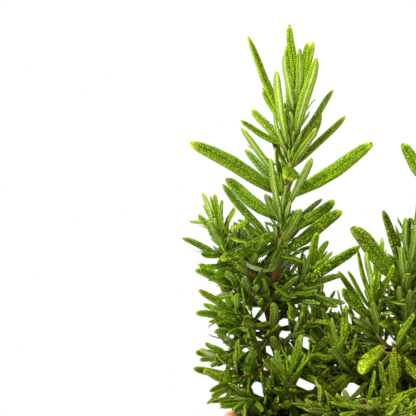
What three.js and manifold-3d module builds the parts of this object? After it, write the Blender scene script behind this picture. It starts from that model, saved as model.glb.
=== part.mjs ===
// A rosemary plant in a terracotta pot: six rooted stems with leafy side shoots, in potting soil.
// Millimetres, +Z up. The origin is on the pot's axis, in the plane that the pot stands on.
// +X is to the right and +Y to the back of a viewer who faces the plant.
import * as THREE from "three";
import { mergeVertices } from "three/addons/utils/BufferGeometryUtils.js";
import Module from "manifold-3d";

const wasm = await Module();
wasm.setup();

// Driving dimensions of the pot and the soil.
const POT_HEIGHT = 100;
const RIM_RADIUS = 55;
const RIM_BAND = 22;
const RIM_STEP = 3;
const FOOT_RADIUS = 38;
const WALL = 5;
const FLOOR = 7;
const DRAIN_RADIUS = 6;
const POT_SIDES = 36;
const SOIL_EDGE = 90;
const SOIL_CROWN = 92;
const CLEARANCE = 0.3;
const ROOT_BOTTOM = 67;

// Driving dimensions of the plant.
const LEADER_SIDES = 6;
const SHOOT_SIDES = 4;
// A stem stays thick for most of its length and thins near its tip.
const STEM_TAPER = 1.6;
const BARE_STEP = 8;
const SEAT_STEPS = 8;
const LEAF_STEP = 2.4;
const LEAF_THICKNESS = 0.8;
// The leaves on a leader are this much wider than their widths below, which are those seen at a tilt.
const LEADER_WIDENING = 1.25;
// Each ring of a leaf: its share of the length and its share of the full width.
const LEAF_RINGS = [
  [0.27, 1],
  [0.87, 0.66],
];
const LEAF_LINES = [
  [0.03, 0.5],
  [0.27, 1],
  [0.6, 0.9],
  [0.87, 0.66],
  [0.99, 0.2],
];
const TRIANGLE_SIDES = [
  [0, 1],
  [1, 2],
  [2, 0],
];
const OWN_GAP = 0.12;
const NODE_GAP = 0.35;
const DEPTH_TRIES = [0, 1.2, -1.2, 2.4, -2.4, 4, -4, 6.5, -6.5, 9, -9, 12, -12];
const TURN_TRIES = [0, 14, -14, 28, -28, 42, -42];
const SPREAD_TRIES = [0, -10, 10];
const FACET_TRIES = 5;
// Steps round the unit circle that never repeat, so that no two leaves in a row are alike.
const GOLDEN = 0.618034;
const SILVER = 0.414214;

// The eye that sees the plant as the photo does, and windows through the plant from there. A window is
// left, right, bottom and top in the upright plane through the pot's axis. No leaf that is placed by rule
// stands in one, unless it is behind the depth that the window ends with.
const EYE = [-59.4, -900, 164];
const OPEN = 100;
const WINDOWS = [
  [-43.8, -39.4, 128, 133.5, OPEN],
  [-38.5, -37, 134, 136, OPEN],
  [-49, -46, 118, 120.8, OPEN],
  [-44.3, -42, 122, 123.7, OPEN],
  [-42, -39, 119, 121.5, OPEN],
  [-45, -41, 105, 110, OPEN],
  [-42, -40, 111, 114.5, OPEN],
  [-36.5, -35, 124, 129.5, OPEN],
  [-34.8, -33, 108, 110.3, OPEN],
  [-32, -26, 107, 111.3, OPEN],
  [-27, -25, 111, 114, OPEN],
  [-30, -26, 120, 124, OPEN],
  [-20.3, -18.5, 114, 116.5, OPEN],
  [-16, -11.5, 105, 110.7, OPEN],
  [-18.7, -15, 100.5, 105, OPEN],
  [-5, -1.5, 120, 124.5, OPEN],
  [1, 4, 101, 104.5, OPEN],
  [-24, -12, 139, 149, OPEN],
  [-32, -8, 168, 182, OPEN],
  [-22, -1, 156, 172, OPEN],
  [-12, 5.6, 162, 200, OPEN],
  [-40.5, -35.8, 141, 156, -1.5],
  [-13, -9.5, 111.3, 115.5, -12.5],
  [-12.5, -8, 115, 119, -10],
  [-11, -6, 118, 122, -7],
  [-8.5, -3.5, 121, 125.5, -3.5],
  [-23, -17.5, 107.3, 111.5, -11],
  [-17.8, -13, 108.5, 112.5, -6],
  [-12.8, -9.5, 103.5, 107, -11.5],
  [-12.5, -9.3, 107, 111, -6],
  [-3, 4.5, 106.5, 109.8, -22.5],
  [0, 5.6, 111.5, 117, -15],
  [-6, -1.5, 126.5, 129.3, -12],
];

const vector = (x, y, z) => new THREE.Vector3(x, y, z);
const UP = vector(0, 0, 1);
const BACK = vector(0, 1, 0);
const FRONT = vector(0, -1, 0);

const terracotta = new THREE.MeshStandardMaterial({ color: 0xd98a6a, roughness: 0.85, metalness: 0 });
const soilDark = new THREE.MeshStandardMaterial({ color: 0x35261b, roughness: 1, metalness: 0 });
const leafGreen = new THREE.MeshStandardMaterial({ color: 0x4f7d1e, roughness: 0.55, metalness: 0 });

// A closed geometry as a solid for joining and cutting.
function solidOf(geometry) {
  const bare = new THREE.BufferGeometry().setAttribute("position", geometry.getAttribute("position").clone());
  bare.setIndex(geometry.getIndex());
  const merged = mergeVertices(bare, 1e-4);
  return new wasm.Manifold(
    new wasm.Mesh({
      numProp: 3,
      vertProperties: merged.attributes.position.array,
      triVerts: new Uint32Array(merged.index.array),
    }),
  );
}

function geometryOf(solid) {
  const mesh = solid.getMesh();
  const geometry = new THREE.BufferGeometry();
  geometry.setAttribute("position", new THREE.BufferAttribute(new Float32Array(mesh.vertProperties), 3));
  geometry.setIndex(new THREE.BufferAttribute(new Uint32Array(mesh.triVerts), 1));
  geometry.computeVertexNormals();
  return geometry;
}

function turned(profile, sides) {
  const points = profile.map(([radius, height]) => new THREE.Vector2(radius, height));
  return new THREE.LatheGeometry(points, sides).rotateX(Math.PI / 2);
}

// The pot's inner radius at a height, on a straight taper from the floor to the rim.
function innerRadius(z) {
  const top = RIM_RADIUS - WALL;
  const bottom = FOOT_RADIUS - WALL + 2;
  return THREE.MathUtils.lerp(bottom, top, (z - FLOOR) / (POT_HEIGHT - FLOOR));
}

function pot() {
  const bandFoot = POT_HEIGHT - RIM_BAND;
  const bodyTop = RIM_RADIUS - RIM_STEP - 1.5;
  const profile = [
    [DRAIN_RADIUS, 0],
    [FOOT_RADIUS - 1.2, 0],
    [FOOT_RADIUS, 1.2],
    [bodyTop, bandFoot - 1],
    [RIM_RADIUS - 1.6, bandFoot],
    [RIM_RADIUS - 1, bandFoot + 1.5],
    [RIM_RADIUS, POT_HEIGHT - 2],
    [RIM_RADIUS - 1.2, POT_HEIGHT],
    [RIM_RADIUS - WALL + 1.2, POT_HEIGHT],
    [innerRadius(POT_HEIGHT - 2), POT_HEIGHT - 2],
    [innerRadius(FLOOR + 2), FLOOR + 2],
    [innerRadius(FLOOR) - 2, FLOOR],
    [DRAIN_RADIUS, FLOOR],
    [DRAIN_RADIUS, 0],
  ];
  return turned(profile, POT_SIDES);
}

// The soil fills the pot to just below the rim, with a plain hole for each rooted stem.
function soil(stems) {
  const low = FLOOR + CLEARANCE;
  const edge = innerRadius(SOIL_EDGE) - CLEARANCE;
  const profile = [
    [0, low],
    [innerRadius(FLOOR) - 2 - CLEARANCE, low],
    [innerRadius(FLOOR + 2) - CLEARANCE, FLOOR + 2 + CLEARANCE],
    [edge, SOIL_EDGE],
    [edge * 0.93, SOIL_EDGE + 1.1],
    [edge * 0.6, SOIL_CROWN - 0.6],
    [edge * 0.28, SOIL_CROWN + 0.2],
    [0, SOIL_CROWN],
  ];
  let body = solidOf(turned(profile, POT_SIDES));
  for (const stem of stems) {
    const [x, y] = stem.path[0];
    const radius = stem.thick[0] + CLEARANCE + 0.1;
    const depth = SOIL_CROWN + 8 - ROOT_BOTTOM;
    const hole = new THREE.CylinderGeometry(radius, radius, depth, 12);
    hole.rotateX(Math.PI / 2).translate(x, y, ROOT_BOTTOM - CLEARANCE + depth / 2);
    body = body.subtract(solidOf(hole));
  }
  return geometryOf(body);
}

function stemCurve(shoot) {
  return new THREE.CatmullRomCurve3(
    shoot.path.map((point) => vector(...point)),
    false,
    "centripetal",
  );
}

// A direction square to the stem: 0 degrees is to the back, 180 to the front.
function squareTo(tangent, degrees) {
  const back = BACK.clone().addScaledVector(tangent, -tangent.dot(BACK)).normalize();
  return back.applyAxisAngle(tangent, THREE.MathUtils.degToRad(degrees));
}

const stemRadius = ({ thick }, share) => THREE.MathUtils.lerp(thick[0], thick[1], share ** STEM_TAPER);

// The shares of a stem's length at which it has a ring of points: far apart below the lowest leaf,
// and above it close enough for each leaf to grow out of one small triangle of the bark.
function ringShares(shoot) {
  const length = shoot.curve.getLength();
  const bare = shoot.bare ?? 0;
  const wide = Math.max(1, Math.round((bare * length) / BARE_STEP));
  const fine = Math.max(3, Math.round(((1 - bare) * length) / LEAF_STEP));
  const low = bare > 0 ? Array.from({ length: wide }, (_, step) => (bare * step) / wide) : [];
  return [...low, ...Array.from({ length: fine + 1 }, (_, step) => bare + ((1 - bare) * step) / fine)];
}

// A triangle with its box, for quick tests against others.
function triangleOf(...corners) {
  return { corners, box: new THREE.Box3().setFromPoints(corners) };
}

function ringAt(shoot, share) {
  const { curve, sides } = shoot;
  const tangent = curve.getTangentAt(share);
  return Array.from({ length: sides }, (_, side) => {
    const out = squareTo(tangent, ((side + 0.5) * 360) / sides);
    return curve.getPointAt(share).addScaledVector(out, stemRadius(shoot, share));
  });
}

// The bark of a stem: its two ends, and the facets from which leaves may grow.
function barkOf(shoot) {
  const { sides } = shoot;
  const shares = ringShares(shoot);
  const points = shares.flatMap((share) => ringAt(shoot, share));
  const facets = [];
  const addFacet = (share, numbers) => {
    const corners = numbers.map((number) => points[number]);
    const [a, b, c] = corners;
    const centre = a.clone().add(b).add(c).divideScalar(3);
    const normal = b.clone().sub(a).cross(c.clone().sub(a)).normalize();
    facets.push({ share, corners, centre, normal, leafy: false, skin: [triangleOf(...corners)] });
  };
  for (let ring = 0; ring + 1 < shares.length; ring++)
    for (let side = 0; side < sides; side++) {
      const a = ring * sides + side;
      const b = ring * sides + ((side + 1) % sides);
      addFacet(shares[ring] * 0.6 + shares[ring + 1] * 0.4, [a, b, a + sides]);
      addFacet(shares[ring] * 0.4 + shares[ring + 1] * 0.6, [b, b + sides, a + sides]);
    }
  const ends = [];
  const last = (shares.length - 1) * sides;
  for (let side = 1; side + 1 < sides; side++) {
    ends.push(triangleOf(points[0], points[side + 1], points[side]));
    ends.push(triangleOf(points[last], points[last + side], points[last + side + 1]));
  }
  return { facets, ends };
}

// A leaf is set by its root on the bark, its tip, the side its top faces, its width and its bow.
// A leaf with a bow above zero curls up towards the stem's tip, and one below zero arches over.
function leafShape(root, tip, facing, width, bow) {
  const chord = tip.clone().sub(root).normalize();
  const top = facing.clone().addScaledVector(chord, -facing.dot(chord)).normalize();
  const knee = root.clone().add(tip).multiplyScalar(0.5).addScaledVector(top, -2 * bow);
  const curve = new THREE.QuadraticBezierCurve3(root, knee, tip);
  return { curve, top, width, tip };
}

// Three corners of a leaf's section: its two edges and the ridge of its top.
function leafRing(leaf, share, breadth) {
  const centre = leaf.curve.getPoint(share);
  const along = leaf.curve.getTangent(share);
  const across = along.clone().cross(leaf.top).normalize();
  const over = across.clone().cross(along).normalize();
  const half = (leaf.width * breadth) / 2;
  return [
    centre.clone().addScaledVector(across, half),
    centre.clone().addScaledVector(across, -half),
    centre.clone().addScaledVector(over, LEAF_THICKNESS),
  ];
}

// The corners of a leaf's ring in the turn that twists them least from the corners below.
function matched(corners, ring) {
  const turns = [0, 1, 2].map((turn) => [0, 1, 2].map((corner) => ring[(corner + turn) % 3]));
  const twist = (row) => row.reduce((sum, point, corner) => sum + point.distanceTo(corners[corner]), 0);
  return turns.reduce((best, row) => (twist(row) < twist(best) ? row : best));
}

// A leaf's skin, drawn out of the three corners of its facet.
function leafSkin(facet, leaf) {
  const skin = [];
  let below = facet.corners;
  for (const [share, breadth] of LEAF_RINGS) {
    const above = matched(below, leafRing(leaf, share, breadth));
    for (const [side, next] of TRIANGLE_SIDES) {
      skin.push(triangleOf(below[side], below[next], above[side]));
      skin.push(triangleOf(below[next], above[next], above[side]));
    }
    below = above;
  }
  for (const [side, next] of TRIANGLE_SIDES) skin.push(triangleOf(below[side], below[next], leaf.tip));
  return skin;
}

function pierces(from, to, corners) {
  const length = from.distanceTo(to);
  const ray = new THREE.Ray(from, to.clone().sub(from).divideScalar(length));
  const point = ray.intersectTriangle(...corners, false, vector(0, 0, 0));
  return point !== null && point.distanceTo(from) < length;
}

// Whether two triangles of one skin cross. Two that share an edge can't.
function crosses(first, second) {
  if (!first.box.intersectsBox(second.box)) return false;
  const shared = first.corners.filter((corner) => second.corners.includes(corner));
  if (shared.length > 1) return false;
  const piercing = (one, other) =>
    TRIANGLE_SIDES.some(([side, next]) => {
      const ends = [one.corners[side], one.corners[next]];
      return !shared.includes(ends[0]) && !shared.includes(ends[1]) && pierces(...ends, other.corners);
    });
  return piercing(first, second) || piercing(second, first);
}

// Lines along a leaf's two edges and its ridge, by which it is kept clear of what is near.
function leafLines(leaf) {
  const rows = LEAF_LINES.map(([share, breadth]) => leafRing(leaf, share, breadth));
  return [0, 1, 2].map((side) => rows.map((row) => row[side]));
}

function segmentGap(a, b, c, d) {
  const u = b.clone().sub(a);
  const v = d.clone().sub(c);
  const w = a.clone().sub(c);
  const uu = u.dot(u);
  const vv = v.dot(v);
  const uv = u.dot(v);
  const uw = u.dot(w);
  const vw = v.dot(w);
  const spread = uu * vv - uv * uv;
  let s = spread > 1e-9 ? THREE.MathUtils.clamp((uv * vw - vv * uw) / spread, 0, 1) : 0;
  const t = THREE.MathUtils.clamp((uv * s + vw) / vv, 0, 1);
  s = THREE.MathUtils.clamp((uv * t - uw) / uu, 0, 1);
  return w.addScaledVector(u, s).addScaledVector(v, -t).length();
}

function boundOf(lines) {
  return new THREE.Sphere().setFromPoints(lines.flat());
}

// What is placed so far: each leaf and stem as lines, with how far other lines stay from them.
const placed = [];

function clearOfPot(lines) {
  return lines.flat().every((point) => {
    const overRim = Math.hypot(point.x, point.y) > RIM_RADIUS - WALL - 3;
    return point.z > SOIL_CROWN + 1.2 && !(overRim && point.z < POT_HEIGHT + 1);
  });
}

// A leaf's skin is clear where no two triangles of its own and its stem's cross.
function isSkinClear(shoot, facet, skin) {
  const { facets, ends } = shoot.bark;
  const others = [skin, ends, ...facets.filter((other) => other !== facet).map((other) => other.skin)];
  return !others.some((other) => other.some((triangle) => skin.some((own) => crosses(own, triangle))));
}

function isClear(shoot, leaf) {
  const lines = leafLines(leaf);
  const bound = boundOf(lines);
  if (!clearOfPot(lines)) return false;
  for (const other of placed) {
    if (other.bound.center.distanceTo(bound.center) > other.bound.radius + bound.radius + 3) continue;
    const own = other.shoot === shoot;
    const apart = Math.max(leaf.width, other.width) / 4 + other.reach + (own ? OWN_GAP : NODE_GAP);
    const first = own ? 1 : 0;
    const otherFirst = own && !other.stem ? 1 : 0;
    for (const line of lines)
      for (const match of other.lines)
        for (let i = first; i + 1 < line.length; i++)
          for (let j = otherFirst; j + 1 < match.length; j++)
            if (segmentGap(line[i], line[i + 1], match[j], match[j + 1]) < apart) return false;
  }
  return true;
}

// The free facets that suit a leaf best: near to where it should root, and turned towards its tip.
function facetsFor(shoot, share, tip) {
  const length = shoot.curve.getLength();
  const suited = [];
  for (const facet of shoot.bark.facets) {
    if (facet.leafy || facet.share < (shoot.bare ?? 0)) continue;
    const outward = tip.clone().sub(facet.centre).normalize().dot(facet.normal);
    const cost = Math.abs(facet.share - share) * length + 3 * (1 - outward);
    if (outward > 0.12) suited.push({ facet, cost });
  }
  suited.sort((a, b) => a.cost - b.cost);
  return suited.slice(0, FACET_TRIES).map((entry) => entry.facet);
}

// A point's place in the upright plane through the pot's axis, as the eye sees it.
function seenAt(point) {
  const zoom = EYE[1] / (EYE[1] - point.y);
  return [EYE[0] + (point.x - EYE[0]) * zoom, EYE[2] + (point.z - EYE[2]) * zoom];
}

function standsInWindow(leaf) {
  return leaf.curve.getPoints(8).some((point) => {
    const [x, z] = seenAt(point);
    return WINDOWS.some(
      ([left, right, bottom, top, depth]) => x > left && x < right && z > bottom && z < top && point.y < depth,
    );
  });
}

// Grows a leaf from the first facet on which it is clear of everything, and says whether it did.
function grow(shoot, share, tip, facing, width, bow, byRule) {
  for (const facet of facetsFor(shoot, share, tip)) {
    const leaf = leafShape(facet.centre, tip, facing, width * shoot.widening, bow);
    if (byRule && standsInWindow(leaf)) continue;
    if (!isClear(shoot, leaf)) continue;
    const skin = leafSkin(facet, leaf);
    if (!isSkinClear(shoot, facet, skin)) continue;
    const lines = leafLines(leaf);
    facet.leafy = true;
    facet.skin = skin;
    placed.push({ shoot, lines, width: leaf.width, reach: 0, bound: boundOf(lines) });
    return true;
  }
  return false;
}

// The share of a stem at which it passes nearest to a point seen from the front.
function nearestShare(curve, x, z) {
  const shares = Array.from({ length: 61 }, (_, step) => step / 60);
  const gaps = shares.map((share) => {
    const point = curve.getPointAt(share);
    return Math.hypot(point.x - x, point.z - z);
  });
  return shares[gaps.indexOf(Math.min(...gaps))];
}

// The side that a leaf's top faces: the stem's tip by nature, turned to the front or the back by face.
function facingOf(tangent, face) {
  const side = face < 0 ? BACK : FRONT;
  return tangent.clone().multiplyScalar(1 - Math.abs(face)).addScaledVector(side, Math.abs(face));
}

// Leaves read one by one: tip x, y, z, root x, z, width, bow, face. One that would cross another leaf
// or stem is bent to the front or to the back until it is clear.
function placeRead(shoot) {
  for (const [x, y, z, rootX, rootZ, width, bow = 0, face = 0] of shoot.read ?? []) {
    const share = nearestShare(shoot.curve, rootX, rootZ);
    const facing = facingOf(shoot.curve.getTangentAt(share), face);
    DEPTH_TRIES.some((shift) => grow(shoot, share, vector(x, y + shift, z), facing, width, bow, false));
  }
}

// A leaf by rule on a stem's share, turned by degrees round it, in the first of a few near
// directions that is clear. Leaves are longest at mid height and close in towards the stem's tip.
function placeRuleLeaf(shoot, share, degrees, count) {
  const { rule, curve } = shoot;
  const centre = curve.getPointAt(share);
  const tangent = curve.getTangentAt(share);
  const vary = (count * GOLDEN) % 1;
  const length = rule.length * (1 - 0.38 * Math.abs(share - 0.6)) * (0.82 + 0.3 * vary);
  const width = 1.5 + 0.9 * ((count * SILVER) % 1);
  const spread = THREE.MathUtils.lerp(rule.spread[0], rule.spread[1], share) + 8 * (vary - 0.5);
  for (const lift of SPREAD_TRIES)
    for (const turn of TURN_TRIES) {
      const angle = THREE.MathUtils.degToRad(spread + lift);
      const out = squareTo(tangent, degrees + turn);
      const tip = centre
        .clone()
        .addScaledVector(tangent, length * Math.cos(angle))
        .addScaledVector(out, length * Math.sin(angle));
      if (grow(shoot, share, tip, tangent, width, 0.05 * length * (vary - 0.35), true)) return;
    }
}

// Opposite pairs of leaves along a stem, each pair turned a quarter from the one below.
function placeByRule(shoot) {
  const { rule, curve } = shoot;
  const length = curve.getLength();
  const pairs = Math.floor(((rule.to - rule.from) * length) / rule.gap) + 1;
  for (let pair = 0; pair < pairs; pair++) {
    const share = Math.min(rule.from + (pair * rule.gap) / length, 0.98);
    for (const side of [0, 1]) {
      const degrees = rule.turn + pair * 90 + side * 180;
      const out = squareTo(curve.getTangentAt(share), degrees);
      // Past the share that deep gives, the sides are left to the leaves that were read.
      const shown = share < (rule.deep ?? 1) || Math.abs(out.y) > 0.5;
      if (shown) placeRuleLeaf(shoot, share, degrees, pair * 2 + side + rule.seed);
    }
  }
}

// The point of a leader's middle line at a height.
function middleAt(curve, height) {
  let share = 0;
  while (curve.getPointAt(share).z < height) share += 0.002;
  return curve.getPointAt(share);
}

// Moves a side shoot's root along the level until it is a clearance from its leader's bark.
function seat(shoot, leader) {
  const root = vector(...shoot.path[0]);
  const middle = middleAt(leader.curve, root.z).setZ(root.z);
  const out = root.clone().sub(middle).normalize();
  const bark = leader.bark.facets.map(({ corners }) => new THREE.Triangle(...corners));
  const foot = vector(0, 0, 0);
  let far = leader.thick[0] + shoot.thick[0] + 1;
  for (let step = 0; step < SEAT_STEPS; step++) {
    shoot.path[0] = middle.clone().addScaledVector(out, far).toArray();
    shoot.curve = stemCurve(shoot);
    const gaps = ringAt(shoot, 0).flatMap((corner) =>
      bark.map((facet) => facet.closestPointToPoint(corner, foot).distanceTo(corner)),
    );
    far -= 0.9 * (Math.min(...gaps) - CLEARANCE);
  }
}

// A side shoot by rule: it leaves its leader's bark at a height, rises and bends up.
function sideShoot(leader, name, height, degrees, reach, rise, seed, length = 15) {
  const root = middleAt(stemCurve(leader), height);
  const angle = THREE.MathUtils.degToRad(degrees);
  const out = vector(Math.cos(angle), Math.sin(angle), 0);
  const at = (far, up) => root.clone().addScaledVector(out, far).addScaledVector(UP, up).toArray();
  return {
    name,
    path: [at(leader.thick[0], 0.5), at(reach * 0.45, rise * 0.28), at(reach * 0.82, rise * 0.64), at(reach, rise)],
    thick: [0.95, 0.6],
    rule: { from: 0.2, to: 1, gap: 4, length, spread: [58, 24], turn: 0, seed },
  };
}

// The left stem of the plant, seen whole: its leader and the shoots on it.
const leaderA = {
  name: "stem_a_leader",
  path: [
    [-30, 0, ROOT_BOTTOM],
    [-30, 0, 80],
    [-30, 0, 94],
    [-32, 0, 102],
    [-36, -0.5, 114],
    [-39.5, -0.5, 126],
    [-40, 0, 134],
    [-39, 0, 142],
    [-37.3, 0, 150],
    [-36.3, 0, 158],
    [-35.3, 0.5, 167],
    [-33.8, 0.5, 177],
    [-32.2, 0.5, 189],
    [-31.5, 0, 201],
  ],
  thick: [2.2, 0.8],
  bare: 0.26,
  rule: { from: 0.3, to: 0.98, gap: 4.4, length: 16, spread: [60, 22], turn: 0, seed: 3, deep: 0.3 },
  read: [
    [-35, -13.5, 172.6, -34, 176.2, 4.1, -1, 0],
    [-26.2, 3, 216.8, -30.5, 191, 2, 0.5],
    [-34, -1, 221.3, -31.5, 195, 1.9, 0.9, 0.9],
    [-47, 4, 218, -34, 188, 2.3, 0.9, 0.6],
    [-34.5, 8, 215.5, -32.5, 190, 2.6, 0.4],
    [-36, -4, 211.5, -33, 190, 1.6, 0.4],
    [-31.2, -9, 213.3, -31.8, 190, 1.9, 0.4],
    [-28.2, 8, 216, -31, 190, 2.3, 0.5],
    [-26, -8, 210.3, -31, 188, 2.6, 0.5],
    [-38.2, -7, 206.7, -33, 180, 2.2, 0.7],
    [-42, -1, 201.8, -34, 186, 2.2, 0.2, 0.5],
    [-39.2, -8, 193.5, -33, 180, 1.5, 0],
    [-45.5, 9, 195.3, -36, 181, 2.6, 0.2, 0.4],
    [-40.5, 8, 190.7, -36, 176, 2.5],
    [-49.3, 2, 191.3, -34, 183, 1.8, 1.9, 0.7],
    [-49.2, -7, 189, -37, 172, 2, 0, -0.4],
    [-47.7, 5, 182.3, -37, 170, 1.8, 0.2, 0.6],
    [-65, -3, 184.5, -36.5, 170, 3.6, -0.8, 0.9],
    [-40, -8, 179.5, -36.5, 160, 1.8],
    [-20, 3, 201.3, -32, 180, 1.6, -1.4, 0.4],
    [-24, 9, 194.3, -30, 181, 3, 0],
    [-16.3, 4, 193, -33, 177.5, 1.7, 1.1, 0.6],
    [-26, -9, 188.7, -33, 177, 2.5],
    [-8.2, -3, 184.3, -34.5, 166, 3.5, -2.2, 0.9],
    [-27.2, -8, 179.5, -34.5, 164, 2],
    [-53.8, 3, 173.2, -36.5, 161, 3, -0.2, 0.8],
    [-54.8, 8, 171.6, -38, 151, 2, 0.3, 0.6],
    [-42, -9, 168.3, -36.5, 160, 1.5],
    [-55.5, -11, 148, -37, 157, 3.3, -0.6, 0.9],
    [-50.2, -8, 160.3, -38, 151, 2.4, 0, 0.2],
    [-54, 5, 157.5, -38, 149.5, 2, 0.3, 0.5],
    [-48, -9, 147.5, -39, 145.5, 1.5, 1.4, 0.3],
    [-23.5, 5, 167, -36, 157, 1.6, 0, 0.5],
    [-20, -2, 166.5, -36.5, 153, 2.7, 0.3, 0.8],
    [-18, -7, 163.2, -36.5, 151, 3, 0.8, 0.8],
    [-30.6, -9, 163.8, -36.5, 152, 2.2],
    [-28.8, 4, 161.7, -37, 151, 2],
    [-30, -7, 147.3, -36.8, 149.6, 1.8, -0.3, 0.4],
    [-40.4, -6, 144.6, -38.6, 152.6, 2, 0.2, 0.6],
    [-43.8, -5, 149, -38.2, 153.6, 1.6, 0.2, 0.5],
  ],
};

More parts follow.
